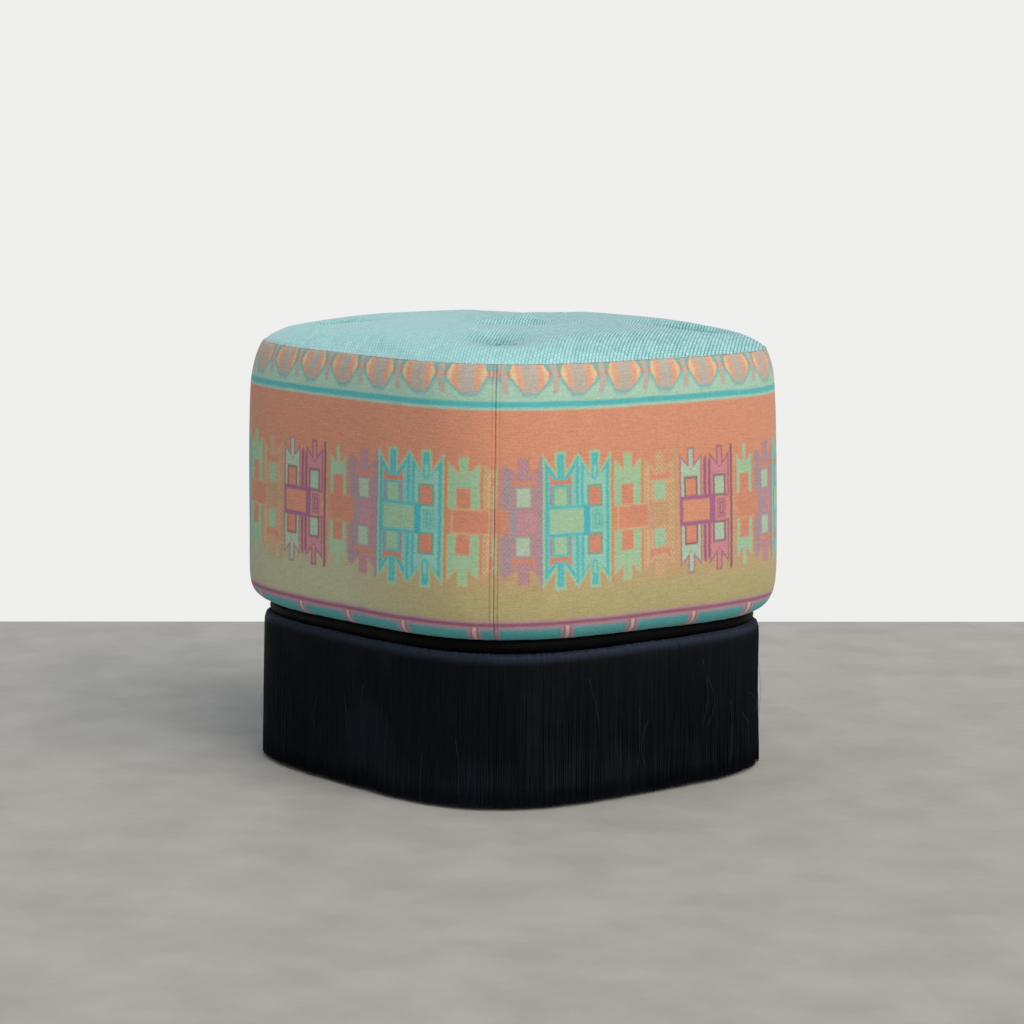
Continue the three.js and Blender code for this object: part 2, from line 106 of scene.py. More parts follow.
class TuffetSizes(bpy.types.PropertyGroup):
    """Sizes that the pieces are made to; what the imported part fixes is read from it."""

    half_width: length("Half width", "From the middle to the widest part of a face", CAD_HIGH.x)
    squareness: FloatProperty(name="Squareness", default=3.5, min=2.0, max=8.0,
                              description="2 is a round plan, and more is squarer")
    seam_height: length("Top seam height", "Where side cloth and cover meet",
                        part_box("side_cloth_right")[1].z - 3.5 * MM)
    wall_bottom: length("Side cloth bottom", "Lowest point of the side cloth",
                        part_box("side_cloth_right")[0].z)
    crown_rise: length("Crown rise", "Middle of the seat above its seam", 21 * MM)
    tuft_depth: length("Tuft depth", "How far a tight tuft pulls the cover down", 19 * MM)
    tuft_reach: length("Tuft reach", "Radius of the dimple round a tuft", 52 * MM)
    tuft_spread: length("Tuft spread", "Outer tufts from the middle, along each face",
                        (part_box("tie_washer_2")[0].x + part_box("tie_washer_2")[1].x) / 2)
    cover_row: length("Cover row", "Spacing of the cover's slanting rows of yarn", 3.05 * MM)
    cover_float: length("Cover float", "Length of a yarn before it dives under", 5.6 * MM)
    pattern_repeat: length("Pattern repeat", "Length of the side cloth's pattern", 310 * MM)
    cover_relief: length("Cover relief", "How far the yarns' crowns stand above the gaps", 0.7 * MM)
    rib: length("Rib", "Height of one weft rib of the side cloth", 1.25 * MM)
    strand_gap: length("Strand gap", "Spacing of the fringe's strands in one layer", 0.8 * MM)
    strand_layers: IntProperty(name="Strand layers", default=3, min=1, max=5,
                               description="Layers of strands, one behind another")
    fringe_top: length("Fringe top", "Top of the fringe's folded head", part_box("fringe_front")[1].z)
    seed: IntProperty(name="Seed", default=7, description="Picks the chance in cloth and strands")


class TuffetThreads(bpy.types.PropertyGroup):
    """Colours of the dyed yarns."""

    cover: thread("Aqua wool of the seat", "#97D0D2")
    # painted light on the seat's weave: a painted highlight on the yarns' crowns and painted shade in the
    # gaps between them
    cover_crown: thread("Crowns of the seat's yarns", "#BDE9EB")
    cover_gap: thread("Shade between the seat's yarns", "#3F868D")
    fringe: thread("Blue-black strands", "#04060B")
    coral: thread("Ground of the band at its top", "#D59275")
    salmon: thread("Ground between the figures", "#D28C71")
    tan: thread("Ground below the figures", "#C69C7B")
    olive: thread("Ground of the band at its foot", "#AFA475")
    mint: thread("Pale green outline and squares", "#A0C29E")
    celadon: thread("Greyed pale green", "#AFC3AA")
    foam: thread("Pale field of turquoise figures", "#92C7B7")
    moss: thread("Greyed teal outline", "#6FA08F")
    lichen: thread("Yellowed green outline", "#B8BC88")
    bran: thread("Brownish yellow", "#C09D70")
    aqua: thread("Light blue-green field", "#88C5B8")
    turquoise: thread("Clear blue-green line", "#57B6B8")
    teal: thread("Greener line", "#5FB0A2")
    blue: thread("End block of turquoise figures", "#4DB1BC")
    sea: thread("Fields of the lower border", "#4FABAD")
    brick: thread("Coral squares", "#CE8A71")
    orange: thread("Orange tan rails", "#C8926E")
    straw: thread("Light yellow tan", "#D2AE86")
    magenta: thread("Dark pink line", "#985F70")
    purple: thread("Dusky violet line", "#A3688A")
    plum: thread("Dark outline of violet figures", "#7E5F69")
    rose: thread("Dusty pink", "#C98890")
    mauve: thread("Greyed pink", "#C48A7E")
    steel: thread("Violet grey dots", "#978E9E")
    sage: thread("Faded olive", "#B6B493")
    slate: thread("Grey violet", "#A3949B")
    stone: thread("Grey green, highest of all", "#89ABA4")
    frost: thread("Ground of the upper border", "#A8CBB6")
    haze: thread("Grey blue shade below the lenses", "#82B4B2")
    shell: thread("Greyed beige of lens and stalk", "#B9AEA2")
    peach: thread("Coral of the lenses", "#DCA287")
    honey: thread("Yellow tips of the lenses", "#DCC196")
    lilac: thread("Greyed violet pink", "#B78FA1")
    blush: thread("Palest pink", "#DDBDBA")


def sizes():
    return bpy.context.scene.tuffet_sizes


def yarns(**more):
    """Every yarn's colour by name, and more that a material's lines need to know."""
    group = bpy.context.scene.tuffet_threads
    return {**{name: tuple(getattr(group, name)) for name in TuffetThreads.__annotations__}, **more}


# ------------------------------------------------------------------ mesh making


def new_piece(name, points, faces, material, uv=None, smooth=True):
    """A mesh object in the frame's metres; uv gives the cloth's own metres at each point."""
    mesh = bpy.data.meshes.new(name)
    mesh.from_pydata(asarray(points).reshape(-1, 3).tolist(), [], faces)
    mesh.validate()
    if uv is not None:
        layer = mesh.uv_layers.new(name="cloth")
        corners = zeros(len(mesh.loops), int64)
        mesh.loops.foreach_get("vertex_index", corners)
        layer.data.foreach_set("uv", asarray(uv, float32).reshape(-1, 2)[corners].ravel())
    mesh.materials.append(material)
    mesh.polygons.foreach_set("use_smooth", [smooth] * len(mesh.polygons))
    piece = bpy.data.objects.new(name, mesh)
    bpy.context.scene.collection.objects.link(piece)
    return piece


def points_of(mesh):
    """A mesh's points as an array."""
    points = zeros(len(mesh.vertices) * 3)
    mesh.vertices.foreach_get("co", points)
    return points.reshape(-1, 3)


def grid_faces(rows, columns, closed=False, start=0, flip=False):
    """Faces of a grid of points, row by row; closed joins the last column to the first."""
    row, column = meshgrid(arange(rows - 1), arange(columns if closed else columns - 1), indexing="ij")
    nearer, further = row * columns + column, row * columns + (column + 1) % columns
    quads = stack([nearer, further, further + columns, nearer + columns], axis=-1)
    return ((quads[..., ::-1] if flip else quads).reshape(-1, 4) + start).tolist()


def tubes(name, paths, radius, material, corners=6, sideways=(0.0, 0.0, 1.0)):
    """Round threads along many paths (path, point, xyz) in one mesh; radius may change along them."""
    paths = asarray(paths, float)
    count, steps = paths.shape[:2]
    along = gradient(paths, axis=1)
    along /= norm(along, axis=2, keepdims=True) + 1e-12
    across = cross(along, broadcast_to(sideways, paths.shape))
    across /= norm(across, axis=2, keepdims=True) + 1e-12
    up = cross(along, across)
    turn = linspace(0, 2 * pi, corners, endpoint=False)[:, None]
    ring = across[:, :, None] * cos(turn) + up[:, :, None] * sin(turn)
    points = paths[:, :, None] + ring * broadcast_to(radius, (count, steps))[:, :, None, None]
    size = steps * corners
    one = array(grid_faces(steps, corners, closed=True))
    faces = (one[None] + (arange(count) * size)[:, None, None]).reshape(-1, 4).tolist()
    for first in range(0, count * size, size):
        faces.append(list(range(first, first + corners))[::-1])
        faces.append(list(range(first + size - corners, first + size)))
    return new_piece(name, points, faces, material)


def thicken(piece, thickness, offset=-1.0):
    """Gives a cloth its thickness, inwards from its face."""
    thick = piece.modifiers.new("cloth thickness", "SOLIDIFY")
    thick.thickness, thick.offset = thickness, offset


def dress(piece, slot, *nodes):
    """Hangs a finished piece on the tuffet's one body, in place of its solids."""
    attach(piece, "root")
    if nodes:
        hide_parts(*nodes)


def plan_radius(angle, inset=0.0):
    """The plan's reach at an angle: a circle drawn out towards a square."""
    power = sizes().squareness
    spread = abs(cos(angle)) ** power + abs(sin(angle)) ** power
    return (sizes().half_width - inset) * spread ** (-1 / power)


def plan_point(angle, inset, height):
    """Points on the plan's outline, pulled in by an inset, at a height."""
    reach = plan_radius(angle, inset)
    return stack(broadcast_arrays(reach * cos(angle), reach * sin(angle), height), axis=-1)


def walk(start, end, marks):
    """Angles at given distances from a start angle, run along the widest outline, and the whole run."""
    fine = linspace(start, end, 4001)
    at = plan_point(fine, 0.0, 0.0)
    run = concatenate(([0.0], cumsum(norm(diff(at, axis=0), axis=1))))
    places = marks(run[-1])
    return interp(places, run, fine), places, run[-1]


def ring_round(name, outline, columns, material):
    """A closed ring round the plan: outline gives its section as (inset, height) rows for the angles."""
    angle = linspace(0, 2 * pi, columns, endpoint=False)[None]
    inset, height = outline(angle)
    last = (len(inset) - 1) * columns
    faces = grid_faces(len(inset), columns, closed=True)
    faces += [[last + i, last + (i + 1) % columns, (i + 1) % columns, i] for i in range(columns)]
    return new_piece(name, plan_point(angle, inset, height), faces, material)


def bell(away, wide):
    """1 at no distance, and falling to nothing over a few widths."""
    return exp(-(away / wide) ** 2)


def ripple(distance, wave, seed):
    """Uneven ripples of about one wavelength, from -1 to 1."""
    chance = default_rng(seed)
    return sum(sin(2 * pi * distance / (wave * stretch) + chance.uniform(0, 6.28))
               for stretch in (0.71, 1.0, 1.37, 1.93)) / 4


def wall_low(angle):
    """Height at which the stuffed wall turns under: 3 mm lower at the two side corners."""
    return sizes().wall_bottom - (2.2 + 1.5 * (1 - cos(2 * (angle + pi / 4)))) * MM


def wall_inset(height, angle=0.0):
    """How far the stuffed wall is pulled in: where the cloth rolls under and at its top seam.

    The corner at 225 degrees is stuffed a little fuller than the others, and the one at 45 degrees
    is fuller below.
    """
    up = maximum(height - wall_low(angle), 0) / ((8.6 + 1.2 * cos(angle - pi / 4)) * MM)
    down = maximum(sizes().seam_height - height, 0) / (18 * MM)
    turned = (degrees(angle) + 180) % 360 - 180
    fuller = 3.2 * MM * bell(turned + 135, 15) * minimum(down + 0.8, 3) / 3
    fuller += 4.0 * MM * bell(turned - 45, 20) * clip((375 * MM - height) / (170 * MM), 0, 1)
    return 19 * MM * exp(-up) + 9.5 * MM * exp(-down) - fuller


def cloth_place(u, z, side):
    """Where a point of the wall lies on the cloth as it was woven, both in millimetres.

    u is the way round from the front corner, plus to the right, and z the height. Each panel was cut
    a little askew and stretched unevenly over the stuffing.
    """
    away = abs(u - FRONT_SEAM)
    if side == "right":
        along = u - 51 + 2.3 * cos(2 * pi * (u - 112) / 250)
        lean, top, more = 4.3 * (1 - exp(-away / 70)), 0.3, 0.0
    else:
        along = u + 2293.7 + 3.3 * cos(2 * pi * (u + 190) / 310)
        lean, top, more = -1.3, -0.15, 0.4
    along = along - lean * (275.9 - z) / 128 + top * maximum(z - 403, 0) * exp(-away / 100)
    # above and below the figures the cloth was eased more than stretched
    eased = where(u > 0, -2.5 * (1 - exp(-away / 100)) - 5.5 * bell(u - 140, 70),
                  1.2 + 5.3 * bell(u + 55, 80))
    along = along + eased * clip((z - 385) / 20, 0, 1)
    foot = clip((200 - z) / 12, 0, 1)
    gathered = u * clip((388 - abs(u)) / 98, 0, 1)
    along = along + gathered * (0.05 + 0.035 * clip((z - 163) / 14, 0, 1)) * foot
    sag = 1.2 + more + 1.9 * (1 - bell(away, 150))
    return along, z + sag * clip((400 - z) / 110, 0.15, 1) - foot * (1.6 - bell(u, 60))


# ------------------------------------------------------------------ materials


def add(tree, kind, *inputs, stops=(), blend="LINEAR", **named):
    """Adds a node with its settings and links; stops give a ramp's places and colours.

    Inputs come in order, or by name or number among the settings. A node, or one of its outputs, is
    linked, and anything else is set.
    """
    node = tree.nodes.new("ShaderNode" + kind)
    values = dict(enumerate(inputs))
    for key, value in named.items():
        if key in node.bl_rna.properties:
            setattr(node, key, value)
        else:
            values[int(key) if key.isdigit() else key] = value
    for key, value in values.items():
        if isinstance(value, bpy.types.Node):
            value = next(output for output in value.outputs if output.enabled)
        if isinstance(value, bpy.types.NodeSocket):
            tree.links.new(value, node.inputs[key])
        else:
            node.inputs[key].default_value = value
    for number, (place, colour) in enumerate(stops):
        node.color_ramp.interpolation = blend
        marks = node.color_ramp.elements
        mark = marks[number] if number < 2 else marks.new(1.0)
        mark.position, mark.color = place, colour
    return node


def understand(word, known):
    """What a word of a line stands for: something known or its output, a colour, a number or itself."""
    name, _, output = word.partition(".")
    if name in known:
        return known[name].outputs[output.replace("_", " ")] if output else known[name]
    if word[0] == "#":
        return linear(word)
    try:
        parts = [float(part) for part in word.split(",")]
    except ValueError:
        return True if word == "True" else word
    return parts if len(parts) > 1 else parts[0]


STEPS = {"+": "ADD", "-": "SUBTRACT", "from": "SUBTRACT", "*": "MULTIPLY", "/": "DIVIDE", "<": "LESS_THAN",
         ">": "GREATER_THAN", "min": "MINIMUM", "max": "MAXIMUM", "mod": "FLOORED_MODULO",
         "fold": "PINGPONG", "abs": "ABSOLUTE", "floor": "FLOOR", "sin": "SINE"}


def lay_out(tree, known, *lines):
    """Adds the nodes that lines describe; each is then known by the name before the equals sign.

    "drift = TexNoise place Scale=14" adds a node of that kind, and place:colour marks a ramp. Any
    other line is a sum, worked from left to right with a node for each step: "y = z - 275 abs" is
    the size of z - 275, and "from" takes what stands before it from what comes after.
    """
    for line in lines:
        name, _, first, *words = line.split()
        if first[0].isupper():
            stops = [word.split(":") for word in words if ":" in word]
            named = dict(word.split("=") for word in words if "=" in word)
            known[name] = add(
                tree, first, *(understand(word, known) for word in words if not {":", "="} & set(word)),
                stops=[(float(place), understand(colour, known)) for place, colour in stops],
                **{key: understand(value, known) for key, value in named.items()})
            continue
        value = understand(first, known)
        while words:
            step, *words = words
            operation, terms = STEPS[step], [value]
            if step not in ("abs", "floor", "sin"):
                terms.append(understand(words.pop(0), known))
            if step == "from":
                terms.reverse()
            if step == "*" and words[:1] == ["+"]:
                operation, (_, last, *words) = "MULTIPLY_ADD", words
                terms.append(understand(last, known))
            value = add(tree, "Math", *terms, operation=operation)
        known[name] = value


def new_material(name, known, *lines, **shader):
    """A material laid out from lines, whose colour, rough and bump feed its one Principled shader.

    Values that are even all over are set on the shader's own sockets.
    """
    material = bpy.data.materials.new(name)
    material.use_nodes = True
    tree = material.node_tree
    tree.nodes.clear()
    lay_out(tree, known, *lines)
    values = {key.replace("_", " ").title().replace("Ior", "IOR"): value for key, value in shader.items()}
    for name, socket in (("colour", "Base Color"), ("rough", "Roughness"), ("bump", "Normal")):
        if name in known:
            values[socket] = known[name]
    add(tree, "OutputMaterial", add(tree, "BsdfPrincipled", **values))
    return material


# The band is drawn as distances in millimetres, plus inside a form and minus outside, from u, the
# way along the cloth, and z, the height.
BAND_SUMS = (
    # each weft rib is one step of the design, and lies a hair to one side of the next
    "place = UVMap uv_map=cloth",
    "apart = SeparateXYZ place",
    "drift = TexNoise place Scale=14 Detail=1",
    "u_true = apart.X * 1000",
    "z_true = apart.Y * 1000",
    "row = z_true / rib floor",
    "end_of_warp = u_true / 1.7 floor",
    "jitter = TexWhiteNoise W=row noise_dimensions=1D",
    "crossing = CombineXYZ end_of_warp row",
    "chance = TexWhiteNoise crossing",
    "sway = drift * 2.4 + -1.2",
    "u = jitter * 0.8 + u_true + sway",
    "z = row * rib + half_rib",
    "z = sway * 0.6 + z",
    # place within the repeat: s, then column number, then x from the column's middle line; pick is
    # the middle of the column's eighth of a ramp, and bx counts from a figure's middle line
    "s = u mod repeat",
    "number = s / column floor",
    "pick = number * 0.125 + 0.0625",
    "bx = s / column * 0.5 floor * -2 * column + s - column",
    "bxa = bx abs",
    "x = number * column from s - half_column abs",
    "y = z - 275.8 abs",
    # the figure's own outline: a body with slanted shoulders, and a prong in each column
    "low = number > 1.5",
    "slope = low * -0.45 + 1.27",
    "side = 38.2 - bxa",
    "body = x * slope + 37.9 - y * 0.63 min side",
    "prong_top = low * -5 + 63.8 - y",
    "figure = 5.6 - x min prong_top max body",
    # even rows of dots of a second colour
    "inner = figure - 0.6",
    "dots = row * 0.5 floor * 2.2 + u fold 2.2 * 2 + -2.6 min inner",
    # the comb: a bar with two legs round the square and its prong, narrower in the other figures
    "early = number < 1.5",
    "later = number > 3.5",
    "comb_side = later * -2.2 + 14.6",
    "comb_side = early * -2 + comb_side - x",
    "over_pocket = y - 30.8",
    "pocket = x - 7.8 max over_pocket",
    "leg_end = y - 13",
    "thin_top = early * -8 + 58.6 - y",
    "thin_foot = y - 40",
    "thin = later * -0.9 + 3.6",
    "thin = early * -1.9 + thin - x min thin_top min thin_foot",
    "comb = x * 0.88 + 39",
    "comb = early * -2.6 + comb - y * 0.8 min comb_side min pocket min leg_end max thin",
    # squares, bars with horns, strips beside the squares
    "square_side = 6.7 - x",
    "square = y - 22.6 abs from 8.4 min square_side",
    "within = 12 - x",
    "bar_foot = y - 33.2",
    "bar = x - 7 max 0 * 1.1 + 38 - y min bar_foot min within",
    "strip_top = 33 - y",
    "strip_foot = y - 14.4",
    "strip = x - 8.6 min within min strip_top min strip_foot",
    # the long middle field, its end block and the small key beside it
    "middle_top = 10.4 - y",
    "middle = bx + 12.2 abs from 17.7 min middle_top",
    "end_top = 14 - y",
    "end = bx - 9.9 abs from 3.5 min end_top",
    "key_top = 8.6 - y",
    "key = bx - 22.2 abs from 5.6 min key_top",
    "ring = key fold 1.7 from 0.85 min key",
    # upright rails between the two columns of a figure, and the band at its outer edges
    "between_foot = y - 14.2",
    "between_top = figure - 1.8",
    "between = bx - 3.3 abs from 7 min between_foot min between_top",
    "rail = bx + 3.9 fold 3.05 - 1.4 min between",
    "edge_top = 60 - y",
    "edge = bxa - 35.2 min edge_top",
    # the ground's slow change of colour with height, as a share, and a faded stretch of its foot
    "fall = z - 160 / 220",
    "faded_top = 232 - z / 20",
    "faded_end = u - 1750 / 70",
    "faded = 2180 - u / 70 min faded_top min faded_end",
    # upper border: plump lens forms with a thin stalk between each two
    "lens_x = u - 13.2 mod 51.91 - 25.955 abs",
    "lens_y = z - 410.5 abs",
    "link = 2.3 - lens_y",
    "lens_foot = z - 393.2",
    "lens = lens_y * -0.0195 + -0.42 * lens_y + 20 - lens_x min lens_foot",
    "under_lens = 408 - z * 0.5",
    "lens_shade = lens * 0.5 + 1.6 min under_lens",
    "lens_share = lens_x / 20",
    "stalk_foot = z - 393",
    "stalk = 25.955 - lens_x from 3.2 min stalk_foot",
    "above = z - 377.9",
    "upper = z - 404 * 0.2",
    "clear = z - 383.2 abs from 2.7",
    # lower border: a lilac and a dark line, then rounded fields with pale bars between
    "low_lilac = 182.3 - z",
    "low_dark = z - 178.5 abs from 1.7",
    "bar_x = u - -7.75 mod 83.1 - 41.55 abs",
    "low_side = bar_x - 7.6 * 0.8",
    "low_field = 173.4 - z * 0.55",
    "low_field = Math low_field low_side 2 operation=SMOOTH_MIN",
    "low_bar_top = 177.6 - z",
    "low_bar = 3.8 - bar_x min low_bar_top",
    # the ground and the lenses shade from one thread to another
    "dye = ValToRGB fall 0.20:olive 0.36:tan 0.60:salmon 0.85:coral",
    "petal = ValToRGB lens_share 0.36:shell 0.44:peach 0.62:peach 0.80:honey",
)

# What is laid on the ground, from the lowest up: the distance that bounds it, how far it reaches
# past that, and its thread in each of a repeat's eight columns, left to right, or one for all.
# A dash shows what is under it.
BAND_LAYERS = (
    "faded 0 sage",
    "figure 0.5 mint mint - tan - - - mauve",
    "figure -2.1 turquoise turquoise - - - - - rose",
    "figure -5.6 aqua aqua - tan - - - mauve",
    "between 0 aqua aqua tan tan rose rose mauve mauve",
    "rail 0 turquoise turquoise orange straw magenta magenta slate slate",
    "edge 0 - - orange bran tan magenta tan slate",
    "comb 1.5 - - lichen - purple magenta - -",
    "comb 0 - foam mint - celadon rose mint -",
    "dots 0 - - - straw - - - steel",
    "bar 0 brick - - salmon - - - brick",
    "strip 0 slate - - - - - - -",
    "square 1.9 turquoise moss - - plum plum - slate",
    "square 0 mint brick salmon mint salmon celadon brick celadon",
    "middle 3.9 turquoise turquoise - - purple purple - -",
    "middle 1.5 aqua aqua straw straw - - - -",
    "middle 0 mint mint salmon salmon coral coral brick brick",
    "end 0 blue blue tan tan purple purple slate slate",
    "key 2.3 aqua aqua bran bran rose rose rose rose",
    "ring 0 teal teal tan tan magenta magenta slate slate",
    "above 0 frost",
    "upper 0 stone",
    "clear 0 turquoise",
    "lens_shade 0 haze",
    "link 0 mauve",
    "stalk 0 shell",
    "lens 0 petal",
    "low_lilac 0 lilac",
    "low_dark 0 magenta",
    "low_field 0 sea",
    "low_bar 0 magenta",
    "low_bar -1.5 blush",
)

# Threads vary in tone, and lie in level ribs. The real ribs, 1.2 mm apart, are too fine to show
# evenly, so they are drawn as uneven slubs about that high and 4 mm long, with thicker threads
# between that show as streaks 20 mm long.
BAND_TONES = (
    "flat = CombineXYZ u_true z_true",
    "slub = VectorMath flat 0.25,0.8,0 operation=MULTIPLY",
    "slub = TexNoise slub Scale=1 Detail=2",
    "streak = VectorMath flat 0.05,0.9,0 operation=MULTIPLY",
    "streak = TexNoise streak Scale=1 Detail=1",
    "cloud = TexNoise place Scale=40 Detail=2",
    "tone = slub * 0.14 + 0.71",
    "tone = streak * 0.32 + tone",
    "tone = cloud * 0.08 + tone",
    "tone = chance * 0.16 + tone",
    "colour = VectorMath dye Scale=tone operation=SCALE",
    "relief = chance * 0.35 + slub",
    "bump = Bump Height=relief Strength=0.5 Distance=0.00035",
)


def band_cloth():
    """Jacquard tapestry of wool and cotton, weft-faced and slightly ribbed.

    To the eye: matt, soft-edged figures in stepped outlines, fine level ribs, heathered threads.
    """
    lines = list(BAND_SUMS)
    for bound, reach, *row in (layer.split() for layer in BAND_LAYERS):
        # an edge takes 2 mm to turn from one thread to the next
        shift = 0.5 + 0.5 * float(reach)
        lines.append(f"mask = Math {bound} 0.5 {shift} operation=MULTIPLY_ADD use_clamp=True")
        over = row[0]
        if len(row) > 1:
            over = "over"
            lines += ["over = ValToRGB pick blend=CONSTANT " + " ".join(
                f"{number / COLUMNS}:{name}" for number, name in enumerate(row)), "mask = mask * over.Alpha"]
        lines.append(f"dye = Mix mask 6=dye 7={over} data_type=RGBA")
    column, rib = sizes().pattern_repeat / MM / COLUMNS, sizes().rib / MM
    known = yarns(repeat=column * COLUMNS, column=column, half_column=column / 2, rib=rib,
                  half_rib=rib / 2)
    known["-"] = (0.0, 0.0, 0.0, 0.0)
    return new_material("tapestry_jacquard_wool", known, *lines, *BAND_TONES, roughness=0.88,
                        sheen_weight=0.15, sheen_roughness=0.5, specular_ior_level=0.25)


def cover_cloth():
    """Chunky wool and viscose diagonal weave, piece dyed.

    To the eye: plump short floats in slanting rows, with a painted highlight on their crowns and painted
    shade between them.
    The floats are those of weave(), which shapes them in the mesh.
    """
    return new_material(
        "diagonal_weave_wool_aqua",
        yarns(level=SLANT[0], slant=SLANT[1], row=sizes().cover_row, reach=sizes().cover_float),
        "place = UVMap uv_map=cloth",
        "apart = SeparateXYZ place",
        "across = apart.X * level",
        "across = apart.Y * slant + across",
        "along = apart.Y * level",
        "along = apart.X * slant from along",
        "bend = along * 31 sin",
        "a = across / row",
        "a = bend * 0.3 + a",
        "i = a floor",
        "bend = across * 47 sin",
        "b = along / reach",
        "b = bend * 0.6 + b",
        "b = i * 0.41 + b",
        "j = b floor",
        "fa = a - i - 0.5",
        "fa = fa * fa * -3.7 + 1",
        "fb = b - j - 0.5",
        "fb = fb * fb * -2.1 + 1",
        "crown = fa * fb",
        "cells = CombineXYZ i j",
        "chance = TexWhiteNoise cells",
        "tone = chance * 0.3 + -0.15 + crown",
        # painted sheen: the weave is paler and its gaps fainter towards the left and the back, and none of
        # it is painted in the tufts' dimples
        "back = VectorMath place 0.38,0.92,0 operation=DOT_PRODUCT",
        "fluffy = MapRange back.Value 0.07 -0.12 0 0.52",
        "pull = Attribute attribute_name=tension",
        "fluffy = 1 - pull.Fac max 0 * fluffy",
        "tone = Mix fluffy 2=tone 3=0.85 data_type=FLOAT",
        # painted shade: the weave is darkened in each tuft's dimple
        "tone = pull.Fac * -0.38 + tone",
        # painted highlight on the weave's crowns and painted shade in its gaps
        "colour = ValToRGB tone 0:cover_gap 0.55:cover 1:cover_crown",
        "fluff = TexNoise place Scale=1500 Detail=2",
        "bump = Bump Height=fluff Strength=0.5 Distance=0.0003",
        roughness=0.85, sheen_weight=0.55, sheen_roughness=0.35, specular_ior_level=0.25)


def fringe_strands():
    """Viscose fringe, bright-spun, dyed blue-black.

    To the eye: near black, with a bloom of blue-grey where strands turn away from the eye; a painted
    highlight lies along the head, with painted patches of sheen on the strands.
    """
    return new_material(
        "viscose_fringe_blue_black", yarns(),
        "place = TexCoord",
        "drawn = VectorMath place.Object 1,1,0.06 operation=MULTIPLY",
        "tone = TexNoise drawn Scale=260 Detail=2",
        "rough = MapRange tone 3=0.4 4=0.62",
        "colour = ValToRGB tone 0.3:#020306 0.55:fringe 0.75:#0B101B",
        # a painted highlight where the head rolls over, and painted patches of sheen on the strands
        "apart = SeparateXYZ place.Object",
        "head = MapRange apart.Z 0.138 0.148 0 0.9",
        "lock = TexNoise place.Object Scale=13",
        "worn = MapRange lock 0.52 0.74 0 0.22",
        "worn = head max worn",
        "colour = Mix worn 6=colour 7=#31394B data_type=RGBA",
        specular_ior_level=0.12, sheen_weight=0.07, sheen_roughness=0.35, sheen_tint=linear("#8FA6D2"))


def loose_hair():
    """Viscose, a single bright filament of the fringe.

    To the eye: a thin blue-grey hair, lighter than the mass because light passes round it.
    """
    return new_material(
        "viscose_filament_loose", {}, "place = TexCoord", "tone = TexNoise place.Object Scale=60",
        "colour = ValToRGB tone 0.3:#12161E 0.7:#343C4C", roughness=0.35, specular_ior_level=0.5)


def woven_lining(name, code, thread_mm, **shader):
    """Plain woven cotton or nonwoven lining: matt, with a fine crossed grain."""
    return new_material(
        name, {"dyed": linear(code)[:3], "grain": pi / 10 / (thread_mm * MM)},
        "place = TexCoord",
        "warp = TexWave place.Object Scale=grain Distortion=0.4 bands_direction=DIAGONAL",
        "weft = TexWave place.Object Scale=grain Distortion=0.4 bands_direction=Z",
        "height = warp.Fac * weft.Fac",
        "tone = height * 0.2 + 0.88",
        "colour = VectorMath dyed Scale=tone operation=SCALE",
        "bump = Bump Height=height Strength=0.4 Distance=0.0002", **shader)


def mottled(name, dark, light, grain, depth, stretch=(1.0, 1.0, 1.0), **shader):
    """A surface that varies between two colours with a relief, at a grain in millimetres."""
    return new_material(
        name, {"dark": linear(dark), "light": linear(light), "fine": 1 / (grain * MM), "depth": depth * MM,
               "stretch": stretch},
        "place = TexCoord",
        "drawn = VectorMath place.Object stretch operation=MULTIPLY",
        "noise = TexNoise drawn Scale=fine Detail=4 Roughness=0.6",
        "colour = ValToRGB noise 0.35:dark 0.65:light",
        "bump = Bump Height=noise Strength=0.6 Distance=depth", **shader)


# ------------------------------------------------------------------ seat


def tuft_places():
    """The middle and four outer tufts: right, back, left and front."""
    spread = sizes().tuft_spread
    return [(0.0, 0.0), (spread, spread), (-spread, spread), (-spread, -spread), (spread, -spread)]


def cover_heights(x, y):
    """Height of the cover before it is stuffed: a crown, drawn down at the tufts and between them."""
    s = sizes()
    reach = plan_radius(arctan2(y, x), COVER_INSET)
    share = clip(hypot(x, y) / reach, 0, 1)
    height = s.seam_height + s.crown_rise * (1 - share ** 8)
    height -= 1.3 * MM * exp(-(1 - share) * reach / (1.6 * MM))
    for number, (across, along) in enumerate(tuft_places()):
        away = hypot(x - across, y - along)
        near = clip(away / s.tuft_reach, 0, 1)
        height = height - s.tuft_depth * TUFT_PULLS[number] * (1 - near ** 2) ** 2
        # short folds that run out from each tuft
        fan = cos(5 * arctan2(y - along, x - across) + 1.3 * number)
        height += 0.35 * MM * fan * bell(away - 24 * MM, 12 * MM)
    return height


def squared_grid(count, inset):
    """A square grid drawn onto the plan: x and y of its points, and their share of the way out."""
    line = linspace(-1, 1, count)
    a, b = meshgrid(line, line, indexing="xy")
    share, angle = maximum(abs(a), abs(b)), arctan2(b, a)
    reach = plan_radius(angle, inset) * share
    return reach * cos(angle), reach * sin(angle), share


def finer(grid, times):
    """A grid with more points between the given ones, along smooth curves."""
    for _ in range(2):
        ends = concatenate([2 * grid[:1] - grid[1:2], grid, 2 * grid[-1:] - grid[-2:-1]])
        a, b, c, d = ends[:-3], ends[1:-2], ends[2:-1], ends[3:]
        between = [b + 0.5 * t * (c - a + t * (2 * a - 5 * b + 4 * c - d + t * (3 * (b - c) + d - a)))
                   for t in arange(times) / times]
        fine = stack(between, axis=1).reshape(-1, *grid.shape[1:])
        grid = concatenate([fine, grid[-1:]]).swapaxes(0, 1)
    return grid


